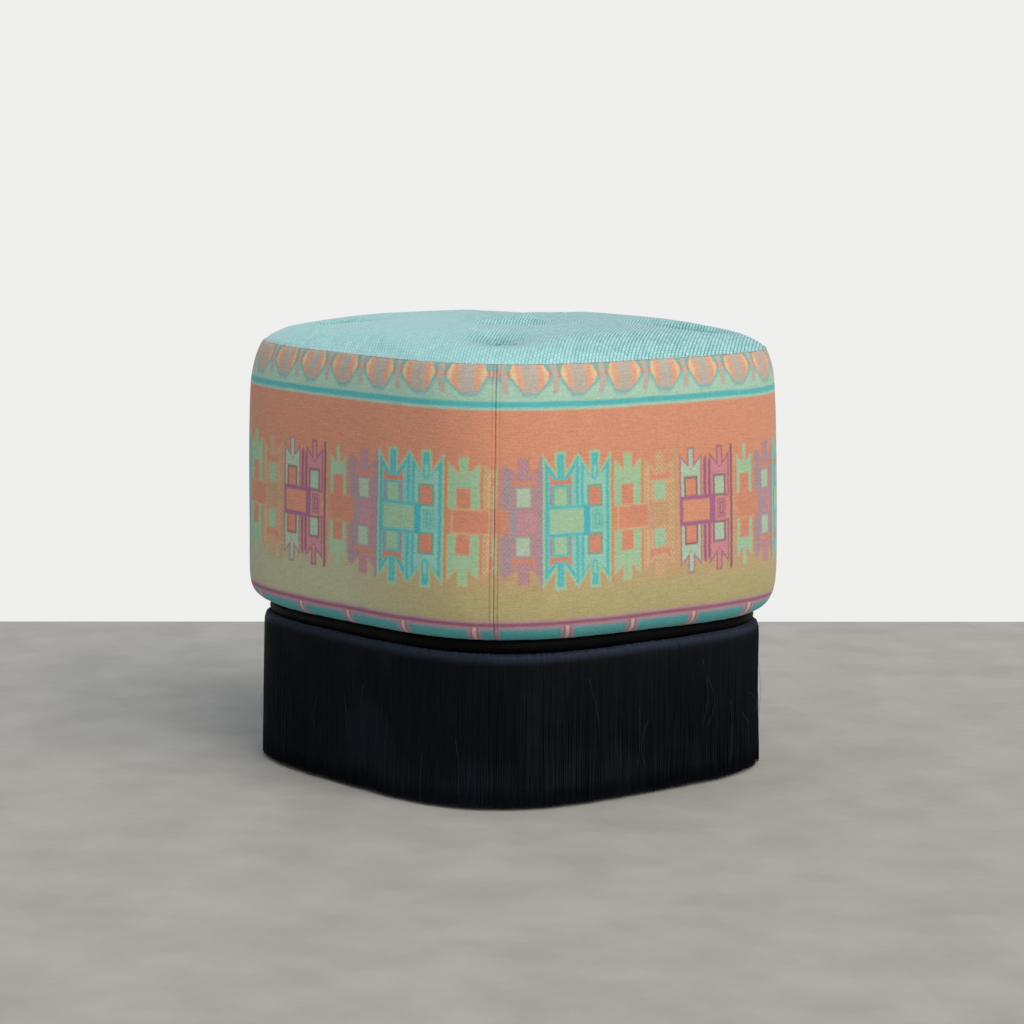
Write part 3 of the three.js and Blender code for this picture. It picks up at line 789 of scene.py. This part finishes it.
def weave(x, y):
    """Plumpness of the cover's floats: 0 in the gaps, 1 on the crowns."""
    across, along = x * SLANT[0] + y * SLANT[1], y * SLANT[0] - x * SLANT[1]
    a = across / sizes().cover_row + 0.3 * sin(31 * along)
    b = along / sizes().cover_float + 0.6 * sin(47 * across) + 0.41 * floor(a)
    fa, fb = mod(a, 1) - 0.5, mod(b, 1) - 0.5
    return (1 - 3.7 * fa ** 2) * (1 - 2.1 * fb ** 2)


def blow_up(piece, held, pressure, most):
    """Stuffs a cloth from inside: Blender's cloth under pressure without gravity, then applied."""
    scene, rest = bpy.context.scene, points_of(piece.data)
    group = piece.vertex_groups.new(name="held")
    group.add([int(i) for i in flatnonzero(held)], 1.0, "REPLACE")
    cloth = piece.modifiers.new("stuffing", "CLOTH")
    s = cloth.settings
    s.quality, s.mass, s.air_damping = 5, 0.25, 2.0
    s.tension_stiffness = s.compression_stiffness = 22.0
    s.shear_stiffness, s.bending_stiffness = 8.0, 0.6
    s.vertex_group_mass = "held"
    s.use_pressure, s.uniform_pressure_force = True, pressure
    s.shrink_min = -0.003
    s.effector_weights.gravity = 0.0
    cloth.collision_settings.use_collision = False
    cloth.point_cache.frame_start, cloth.point_cache.frame_end = 1, 20
    for step in range(1, 21):
        scene.frame_set(step)
    shown = piece.evaluated_get(bpy.context.evaluated_depsgraph_get())
    moved = points_of(shown.data) - rest
    moved *= minimum(1.0, most / maximum(norm(moved, axis=1, keepdims=True), 1e-9))
    piece.modifiers.remove(cloth)
    piece.vertex_groups.remove(group)
    scene.frame_set(1)
    return rest + moved


def rim_of(count):
    """Numbers of the points round the edge of a square grid."""
    line = arange(count - 1)
    return concatenate([line, (line + 1) * count - 1, count * count - 1 - line, (count - 1 - line) * count])


class TopCover(bpy.types.Operator):
    """Makes the woven cover, stuffed by cloth simulation between its seam and its five tufts"""

    bl_idname = "tuffet.top_cover"
    bl_label = "Top cover"

    def execute(self, context):
        s, material = sizes(), cover_cloth()
        x, y, share = squared_grid(COARSE, COVER_INSET)
        flat = stack([x, y], axis=-1)
        points = concatenate([flat, cover_heights(x, y)[..., None]], axis=-1)
        blank = new_piece("top_cover_blank", points, grid_faces(COARSE, COARSE), material)
        tied = share.ravel() > 0.985
        for across, along in tuft_places():
            tied |= hypot(x - across, y - along).ravel() < 9 * MM
        points = blow_up(blank, tied, 0.9, 2.4 * MM).reshape(COARSE, COARSE, 3)
        bpy.data.objects.remove(blank)
        fine, cloth = finer(points, FINER), finer(flat, FINER)
        out = cross(gradient(fine, axis=1), gradient(fine, axis=0))
        out /= norm(out, axis=2, keepdims=True)
        count = len(fine)
        edge = minimum(arange(count), arange(count)[::-1]) / 6
        fade = clip(minimum(edge[:, None], edge[None]), 0, 1)
        fine = fine + out * (s.cover_relief * fade * (weave(cloth[..., 0], cloth[..., 1]) - 0.6))[..., None]
        under = points - array([0, 0, 2 * MM])
        faces = grid_faces(count, count) + grid_faces(COARSE, COARSE, start=count * count, flip=True)
        top_rim, under_rim = rim_of(count), rim_of(COARSE) + count * count
        for number, here in enumerate(under_rim):
            along = [int(top_rim[(number * FINER + k) % len(top_rim)]) for k in range(FINER, -1, -1)]
            faces.append(along + [int(here), int(under_rim[(number + 1) % len(under_rim)])])
        piece = new_piece("top_cover_cloth", concatenate([fine.reshape(-1, 3), under.reshape(-1, 3)]),
                          faces, material, uv=concatenate([cloth.reshape(-1, 2), flat.reshape(-1, 2)]))
        # painted shade for the tufts' dimples, stronger at some tufts than at others, kept in a point
        # attribute
        dimple_shade = sum(shade * bell(hypot(cloth[..., 0] - a, cloth[..., 1] - b), 0.55 * s.tuft_reach)
                   for shade, (a, b) in zip(TUFT_PAINTED_SHADES, tuft_places())).ravel()
        tension = piece.data.attributes.new("tension", "FLOAT", "POINT")
        tension.data.foreach_set("value", concatenate([dimple_shade, zeros(flat.size // 2)]).astype(float32))
        dress(piece, "aqua_cloth", "top_cover")
        return {"FINISHED"}


def cover_surface():
    """The underside of the stuffed cover, as a grid of points."""
    return points_of(bpy.data.objects["top_cover_cloth"].data)[-COARSE * COARSE:].reshape(COARSE, COARSE, 3)


def pad_between(name, top, bottom, shrink, material):
    """A closed pad between two grids of heights, its rim joined."""
    count, around = len(top), rim_of(len(top)).tolist()
    faces = grid_faces(count, count) + grid_faces(count, count, start=count * count, flip=True)
    for here, there in zip(around, around[1:] + around[:1]):
        faces.append([here, here + count * count, there + count * count, there])
    return new_piece(name, stack([top, bottom]) * (shrink, shrink, 1), faces, material)


class Padding(bpy.types.Operator):
    """Makes wadding and foam to the cover's own shape, and the foam wrapped round the block"""

    bl_idname = "tuffet.padding"
    bl_label = "Wadding and foam"

    def execute(self, context):
        over = cover_surface()[::2, ::2]
        down = array([0, 0, MM])
        # polyester wadding: white, matt and fluffy, its fibres seen only where it is cut
        wadding = pad_between("top_wadding_pad", over - down, over - 7 * down, 0.985,
                              mottled("polyester_wadding_carded", "#DDDDDA", "#F3F3F0", 4.0, 1.2,
                                      roughness=0.95, sheen_weight=0.3))
        dress(wadding, "wadding", "top_wadding")
        # polyurethane foam, cut: cream, with fine open cells of about 1 mm
        base = over.copy()
        base[..., 2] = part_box("top_foam")[0].z
        pad = pad_between("top_foam_pad", over - 7.4 * down, base, 0.97,
                          mottled("polyurethane_foam_cut", "#D9CFA8", "#EFE7C8", 1.0, 0.4, roughness=0.9))
        dress(pad, "foam", "top_foam")
        low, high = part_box("side_foam")
        height = linspace(low.z, high.z, 24)[:, None]

        def outline(angle):
            outer = wall_inset(height, angle) + 2.4 * MM
            return (concatenate([outer, full_like(outer, 19.5 * MM)]), concatenate([height, height[::-1]]))

        wrap = ring_round("side_foam_wrap", outline, 256,
                          mottled("polyurethane_foam_sheet", "#D9CFA8", "#EFE7C8", 1.0, 0.4, roughness=0.9))
        dress(wrap, "foam", "side_foam")
        return {"FINISHED"}


class SideCloth(bpy.types.Operator):
    """Makes the two panels of patterned cloth that meet at the front and back corners"""

    bl_idname = "tuffet.side_cloth"
    bl_label = "Side cloth"

    def execute(self, context):
        s, material, near = sizes(), band_cloth(), 12 * MM
        for name, end in (("right", SEAMS["back"]), ("left", SEAMS["back"] - 2 * pi)):
            angle, run, whole = walk(SEAMS["front"], end, lambda total: unique(concatenate([
                linspace(0, near, 31), linspace(near, total - near, 380),
                linspace(total - near, total, 31)])))
            low = wall_low(angle)[None]
            wall = low + (s.seam_height - 0.7 * MM - low) * (linspace(0, 1, 130) ** 1.2)[:, None]
            over = full_like(low, s.seam_height - 0.4 * MM)
            height = concatenate([low + 3.2 * MM, low + 1.2 * MM, low + 0.2 * MM, wall,
                                  over, over - 0.1 * MM])
            roll = wall_inset(wall, angle[None])
            inset = concatenate([roll[:1] + 11 * MM, roll[:1] + 7 * MM, roll[:1] + 2.6 * MM, roll,
                                 roll[-1:] + 0.9 * MM, roll[-1:] + 2.2 * MM])
            # the cloth goes on under the block, and takes up 1 mm in its turn
            drop = low + 1.2 * MM
            flat = concatenate([drop - 12 * MM, drop - 7 * MM, drop - 2.4 * MM, maximum(wall, drop),
                                height[-2:]])
            signed = run[None] * (1 if name == "right" else -1)
            to_seam = minimum(run, whole - run)[None]
            near_top = exp(-(s.seam_height - height) / (9 * MM))
            near_foot = exp(-(height - s.wall_bottom) / (14 * MM))
            relief = 0.45 * MM * ripple(signed, 11 * MM, s.seed) * near_top
            relief += 0.5 * MM * ripple(signed, 23 * MM, s.seed + 1) * near_foot
            relief += 0.5 * MM * ripple(signed + 0.6 * height, 130 * MM, s.seed + 2)
            # the seam's own groove, and the fine dents of the two rows of top stitches
            relief += 1.0 * MM * bell(to_seam, 0.6 * MM) + 0.3 * MM * bell(to_seam - STITCH_AWAY, 0.6 * MM)
            uv = stack(cloth_place(signed / MM + FRONT_SEAM, flat / MM, name), axis=-1) * MM
            piece = new_piece(f"side_cloth_{name}_panel", plan_point(angle[None], inset + relief, height),
                              grid_faces(len(height), len(angle), flip=name == "left"), material, uv=uv)
            thicken(piece, 1.1 * MM)
            dress(piece, "patterned_cloth", f"side_cloth_{name}")
        return {"FINISHED"}


class Stitching(bpy.types.Operator):
    """Makes the top stitches of the corner seams and the fine ones along the top seam"""

    bl_idname = "tuffet.stitching"
    bl_label = "Seam stitching"

    def execute(self, context):
        s, along = sizes(), linspace(0, 1, 5)
        lift = 0.35 * MM * sin(along * pi)
        # polyester sewing thread, twisted: a dry, slightly shiny line
        dusky = mottled("polyester_thread_dusky", "#7A6558", "#B8A08C", 4.0, 0.05, roughness=0.5)
        for name, corner in SEAMS.items():
            low = arange(s.wall_bottom + 2 * MM, s.seam_height - 3 * MM, 2.3 * MM)
            height = low[:, None] + 1.3 * MM * along
            turns = [walk(corner, corner + side * 0.2, lambda total: array([STITCH_AWAY]))[0]
                     for side in (-1, 1)]
            rows = tubes(f"seam_stitches_{name}", concatenate([
                plan_point(turn, wall_inset(height, turn) + 0.5 * MM - lift, height) for turn in turns]),
                0.24 * MM, dusky, sideways=(cos(corner), sin(corner), 0.0))
            dress(rows, "patterned_cloth")
        angle, _, whole = walk(0, 2 * pi, lambda total: arange(0, total, 2.9 * MM))
        turn = angle[:, None] + along * (1.5 * MM / whole * 2 * pi)
        edge = tubes("top_seam_stitches",
                     plan_point(turn, 9.9 * MM - lift, s.seam_height + lift - 0.3 * MM), 0.42 * MM,
                     mottled("polyester_thread_shell", "#B77F74", "#CFDDD6", 5.0, 0.05, roughness=0.5))
        dress(edge, "aqua_cloth")
        return {"FINISHED"}


class Tufts(bpy.types.Operator):
    """Makes the five ties: twine through the pad, a crossed stitch on top and a knot below"""

    bl_idname = "tuffet.tufts"
    bl_label = "Tufts"

    def execute(self, context):
        # waxed linen twine, two-ply and dyed to match: tight, slightly shiny
        twine = mottled("waxed_linen_twine_aqua", "#4A9093", "#6FB4B4", 1.5, 0.2, roughness=0.55)
        surface = cover_surface().reshape(-1, 3)
        steps, reach = linspace(0, 1, 40), linspace(-3.4 * MM, 3.4 * MM, 40)
        for number in range(1, 6):
            low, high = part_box(f"tuft_stitch_{number}")
            x, y = (low.x + high.x) / 2, (low.y + high.y) / 2
            top = surface[hypot(surface[:, 0] - x, surface[:, 1] - y).argmin(), 2] + 2 * MM
            droop = 0.7 * MM - 2.6 * MM * abs(reach / (3.4 * MM)) ** 3
            paths = []
            for turn, wide, height in (
                    (steps * 18 * pi, 0.55 * MM, low.z + 2 * MM + steps * (top - low.z - 1.5 * MM)),
                    (steps * 18 * pi + pi, 0.55 * MM, low.z + 2 * MM + steps * (top - low.z - 1.5 * MM)),
                    (full(40, 0.25), reach, top + droop),
                    (full(40, 0.25 + pi / 2), reach, top + droop + 0.35 * MM),
                    (steps * 4 * pi, 2.3 * MM, low.z + 0.9 * MM + steps * 2.2 * MM)):
                paths.append(stack([x + wide * cos(turn), y + wide * sin(turn), height], axis=-1))
            tie = tubes(f"tuft_tie_{number}", paths, 0.75 * MM, twine, sideways=(0.3, 0.2, 0.93))
            dress(tie, "twine", f"tuft_stitch_{number}")
        return {"FINISHED"}


# ------------------------------------------------------------------ plinth


class PlinthCloth(bpy.types.Operator):
    """Makes the black cloth round the plinth, and the stuffed roll that fills the recess above it"""

    bl_idname = "tuffet.plinth_cloth"
    bl_label = "Plinth cloth and recess roll"

    def execute(self, context):
        low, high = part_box("plinth_cloth")
        angle = linspace(0, 2 * pi, 720, endpoint=False)
        height = linspace(low.z + 0.2 * MM, high.z - 0.2 * MM, 40)[:, None]
        relief = 0.35 * MM * (1 + ripple(angle * 0.2, 9 * MM, 3)) * exp(-(high.z - height) / (12 * MM))
        # cotton sateen, dyed black: dark and even, with a faint sheen where it turns
        wrap = new_piece("plinth_cloth_wrap",
                         plan_point(angle, sizes().half_width - high.x + relief, height),
                         grid_faces(40, 720, closed=True),
                         woven_lining("cotton_sateen_black", "#08090C", 0.9, roughness=0.55,
                                      specular_ior_level=0.2))
        thicken(wrap, 0.9 * MM)
        dress(wrap, "black_cloth", "plinth_cloth")
        bottom = sizes().fringe_top - 0.8 * MM
        turn = linspace(0, 2 * pi, 24, endpoint=False)[:, None]

        def outline(angle):
            pucker = 0.25 * MM * ripple(angle * 0.2, 7 * MM, 11)
            top = wall_low(angle) + 0.4 * MM
            return (20.6 * MM - (5.4 * MM + pucker) * cos(turn),
                    (top + bottom) / 2 + (top - bottom) / 2 * sin(turn))

        # cotton sateen over cord, dyed black: a soft line of light along its rounded top; its near-black
        # colour, darker than the plinth's same sateen, is painted shade of the recess
        roll = ring_round("recess_roll", outline, 720,
                          woven_lining("cotton_sateen_black_rolled", "#020203", 0.9, roughness=0.6,
                                       specular_ior_level=0.05))
        dress(roll, "black_cloth")
        return {"FINISHED"}


class Fringe(bpy.types.Operator):
    """Makes the fringe: layers of fine strands rolled over a head and hanging to the floor"""

    bl_idname = "tuffet.fringe"
    bl_label = "Fringe"

    def execute(self, context):
        material, hair, chance = fringe_strands(), loose_hair(), default_rng(sizes().seed)
        for name, start in (("right", -45.0), ("back", 45.0), ("left", 135.0), ("front", 225.0)):
            base, first = radians(start), (start + 45) / 90
            end, middle = base + pi / 2, base + pi / 4
            outward = (cos(middle), sin(middle), 0.0)
            layers = [self.strands(base, first, depth, chance) for depth in range(sizes().strand_layers)]
            turn, inset, height, width = (concatenate(part) for part in zip(*layers))
            width[:, -1] *= 0.4
            piece = tubes(f"fringe_{name}_strands", plan_point(turn, inset, maximum(height, 0.6 * MM)),
                          width, material, corners=3, sideways=outward)
            dress(piece, "fringe", f"fringe_{name}")
            # the strands' dense inner mass, so that no light comes through between them
            angle = linspace(base, end, 120)
            rows = array([(26, -6), (20, -3.2), (16, -5), (15, -13), (14.6, -60), (14.2, -110),
                          (14, -144)]) * MM
            waved = rows[:, :1] + 0.5 * MM * ripple(angle * 0.22, 5 * MM, sizes().seed)
            core = new_piece(f"fringe_{name}_core",
                             plan_point(angle, waved, sizes().fringe_top + rows[:, 1:]),
                             grid_faces(len(rows), 120, flip=True), material)
            dress(core, "fringe")
            # a few loose hairs that have worked out of the fringe
            angle, _, _ = walk(base, end, lambda total: sort(chance.uniform(0, total, LOOSE)))
            share = linspace(0, 1, 14)
            top = chance.uniform(50, 130, LOOSE)[:, None] * MM
            drop = minimum(chance.uniform(20, 70, LOOSE)[:, None] * MM, top - 3 * MM)
            lean = chance.normal(0, 6 * MM, LOOSE)[:, None]
            curl = lean * sin(share * chance.uniform(1, 3.4, LOOSE)[:, None])
            hairs = plan_point(angle[:, None] + curl / SWING, 9.6 * MM - 2.6 * MM * sin(share * 2.6),
                               top - share * drop)
            stray = tubes(f"fringe_{name}_loose_hairs", hairs, 0.14 * MM, hair, corners=3, sideways=outward)
            dress(stray, "fringe")
        return {"FINISHED"}

    @staticmethod
    def strands(base, first, depth, chance):
        """Angles, insets, heights and radii along one layer of strands on one side."""
        s = sizes()
        top = s.fringe_top
        angle, run, whole = walk(base, base + pi / 2,
                                 lambda total: arange(0.5 * s.strand_gap, total, s.strand_gap))
        count, run = len(angle), run + first * whole
        # a strand's way, as (inset, height) in metres: out of its head, over, and down
        way = array([(26, -3.2), (20, -0.4), (15.2, -0.3), (12.0, -2.4), (10.8, -6.5), (10.4, -14)]) * MM
        down = linspace(0, 1, 8)[1:]
        hem = (1.3 * MM + abs(chance.normal(0, 1.5 * MM, count))
               + 1.3 * MM * (1 + ripple(run, 60 * MM, s.seed + 5)))
        # the head sits a little higher at the front corner than at the left one
        head = (top + 1.2 * MM * cos(angle + pi / 4) - 0.8 * MM
                + 0.5 * MM * ripple(run, 9 * MM, s.seed + 8))[:, None]
        height = concatenate([head + way[:, 1],
                              (head + way[-1, 1]) * (1 - down) + hem[:, None] * down], axis=1)
        share = clip((head - height) / top, 0, 1)
        inset = tile(concatenate([way[:, 0], 10.4 * MM - 1.0 * MM * down]), (count, 1))
        swell = (1.5 * MM * ripple(run + 0.02 * depth, 52 * MM, s.seed + 6)[:, None]
                 * sin(share * 5 + run[:, None] * 40) + 0.3 * MM * chance.normal(0, 1, count)[:, None])
        inset += depth * 1.3 * MM - share * swell
        height -= (depth * 0.9 * MM + 0.35 * MM * abs(chance.normal(0, 1, count))[:, None]) * (
            height > top - 20 * MM)
        wander = (chance.normal(0, 0.6 * MM, count)[:, None] * share
                  + 0.45 * MM * share * sin(share * chance.uniform(3, 9, count)[:, None]
                                            + chance.uniform(0, 6.28, count)[:, None])
                  + 2.0 * MM * ripple(run, 38 * MM, s.seed + 7)[:, None] * share
                  * sin(share * 4 + run[:, None] * 15))
        width = 0.46 * MM * chance.uniform(0.75, 1.25, count)[:, None] * ones(height.shape[1])
        return angle[:, None] + wander / SWING, inset, height, width


class DustCover(bpy.types.Operator):
    """Makes the thin black cloth under the plinth"""

    bl_idname = "tuffet.dust_cover"
    bl_label = "Dust cover"

    def execute(self, context):
        low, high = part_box("dust_cover")
        x, y, share = squared_grid(49, sizes().half_width - high.x)
        sag = 0.25 * MM * sin(x * 61) * sin(y * 53) * (1 - share ** 2)
        points = stack([x, y, (low.z + high.z) / 2 + sag], axis=-1)
        # polypropylene, spun and bonded without weaving: dull black with a fine crossed grain
        piece = new_piece("dust_cover_sheet", points, grid_faces(49, 49, flip=True),
                          woven_lining("nonwoven_polypropylene_black", "#15161A", 1.4, roughness=0.8),
                          uv=points[..., :2])
        thicken(piece, 0.4 * MM, 0.0)
        dress(piece, "black_cloth", "dust_cover")
        return {"FINISHED"}


class HiddenBuild(bpy.types.Operator):
    """Gives boards, posts, skins, screws, washers and glides their real finishes"""

    bl_idname = "tuffet.hidden_build"
    bl_label = "Boards, posts and fittings"

    def execute(self, context):
        finishes = {
            # birch plywood, sanded: pale, level grain
            "board": mottled("birch_plywood_sanded", "#C9A877", "#E0C79A", 6.0, 0.05, (1.0, 0.06, 1.0),
                             roughness=0.6),
            # hardboard, pressed: even brown with fine fibres
            "skin": mottled("hardboard_pressed", "#7A5637", "#946B47", 2.0, 0.05, roughness=0.55),
            # pine, sawn: yellow with long grain along the post
            "post": mottled("pine_sawn", "#D2A96C", "#E6C48C", 5.0, 0.2, (1.0, 1.0, 0.05), roughness=0.7),
            # steel, zinc plated: bluish bright metal with a slight cloud
            "screw": mottled("steel_zinc_plated", "#B9BEC4", "#D4D8DC", 1.5, 0.02, roughness=0.35,
                             metallic=1.0),
            # wool felt, pressed: dark grey and hairy
            "washer": mottled("wool_felt_pressed", "#4A4C50", "#66686C", 0.8, 0.3, roughness=0.95,
                              sheen_weight=0.4),
            # polypropylene, moulded: black with a low even shine
            "glide": mottled("polypropylene_moulded_black", "#141518", "#1E1F23", 0.7, 0.03,
                             roughness=0.45),
        }
        for name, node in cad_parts.items():
            for word, finish in finishes.items():
                if word in name and not node.hide_render:
                    for place in node.material_slots:
                        place.material = finish
        return {"FINISHED"}


# ------------------------------------------------------------------ stage and add-on


class Stage(bpy.types.Operator):
    """Makes the plain pale floor, the soft lights, the background and the camera"""

    bl_idname = "tuffet.stage"
    bl_label = "Stage"

    def execute(self, context):
        scene = context.scene
        # floor paint, matt: a pale even grey that keeps the soft shadow; its far edge lies 0.82 m
        # behind the tuffet, a little slanted so that it looks level, and the pale background starts there
        back = radians(139.65)
        away, side = array([cos(back), sin(back), 0.0]), array([-sin(back), cos(back), 0.0])
        far = 7.0
        corners = [0.334 * away + far * side, 1.306 * away - far * side,
                   -far * away - far * side, -far * away + far * side]
        paint = mottled("floor_paint_matt", "#ADABA6", "#BAB8B3", 90.0, 0.01, roughness=0.75,
                        specular_ior_level=0.2)
        new_piece("floor", corners, [[3, 2, 1, 0]], paint, smooth=False)
        scene.world = world = bpy.data.worlds.new("studio")
        world.use_nodes = True
        world.node_tree.nodes.clear()
        lay_out(world.node_tree, {},
                "rays = LightPath",
                "seen = rays.Is_Camera_Ray max rays.Is_Glossy_Ray max rays.Is_Transmission_Ray",
                "light = Background #EAF4FF 0.48",
                "pale = Background #EFEFEE 1",
                "both = MixShader seen light pale",
                "world = OutputWorld both")
        # one large soft lamp, 40 degrees up and to the right of the camera
        lamp = bpy.data.lights.new("key", "SUN")
        lamp.energy, lamp.angle, lamp.color = 2.12, radians(55), linear("#FFF6E9")[:3]
        holder = bpy.data.objects.new("key", lamp)
        holder.rotation_euler = Euler((radians(50), 0.0, radians(85)))
        scene.collection.objects.link(holder)
        scene.view_settings.view_transform = "Standard"
        # a long lens 3.1 m away and 0.67 m up, turned a little down and rolled by less than a degree
        lens = bpy.data.cameras.new("camera")
        lens.lens, lens.sensor_width = 110.83, 36.0
        camera = bpy.data.objects.new("camera", lens)
        around, distance, up, down, roll = radians(-40.35), 3.133, 0.667, 0.1324, 0.0119
        camera.location = (distance * cos(around), distance * sin(around), up)
        turn = Euler((pi / 2 - down, 0.0, radians(49.65))).to_matrix() @ Matrix.Rotation(roll, 3, "Z")
        camera.rotation_euler = turn.to_euler()
        scene.collection.objects.link(camera)
        scene.camera = camera
        return {"FINISHED"}


PIECES = (Stage, TopCover, Padding, SideCloth, Stitching, Tufts, PlinthCloth, Fringe, DustCover,
          HiddenBuild)


class TuffetPanel(bpy.types.Panel):
    """Lists the tuffet's sizes, threads and pieces"""

    bl_idname = "VIEW3D_PT_tuffet"
    bl_label = "Tuffet"
    bl_space_type = "VIEW_3D"
    bl_region_type = "UI"
    bl_category = "Tuffet"

    def draw(self, context):
        for group in (context.scene.tuffet_sizes, context.scene.tuffet_threads):
            box = self.layout.box()
            for name in group.bl_rna.properties.keys():
                if name not in ("rna_type", "name"):
                    box.prop(group, name)
        for piece in PIECES:
            self.layout.operator(piece.bl_idname)


CLASSES = (TuffetSizes, TuffetThreads, *PIECES, TuffetPanel)


def register():
    for made in CLASSES:
        bpy.utils.register_class(made)
    bpy.types.Scene.tuffet_sizes = PointerProperty(type=TuffetSizes)
    bpy.types.Scene.tuffet_threads = PointerProperty(type=TuffetThreads)


def unregister():
    del bpy.types.Scene.tuffet_threads
    del bpy.types.Scene.tuffet_sizes
    for made in reversed(CLASSES):
        bpy.utils.unregister_class(made)


def main():
    register()
    for piece in PIECES:
        group, name = piece.bl_idname.split(".")
        getattr(getattr(bpy.ops, group), name)()


if __name__ == "__main__":
    main()
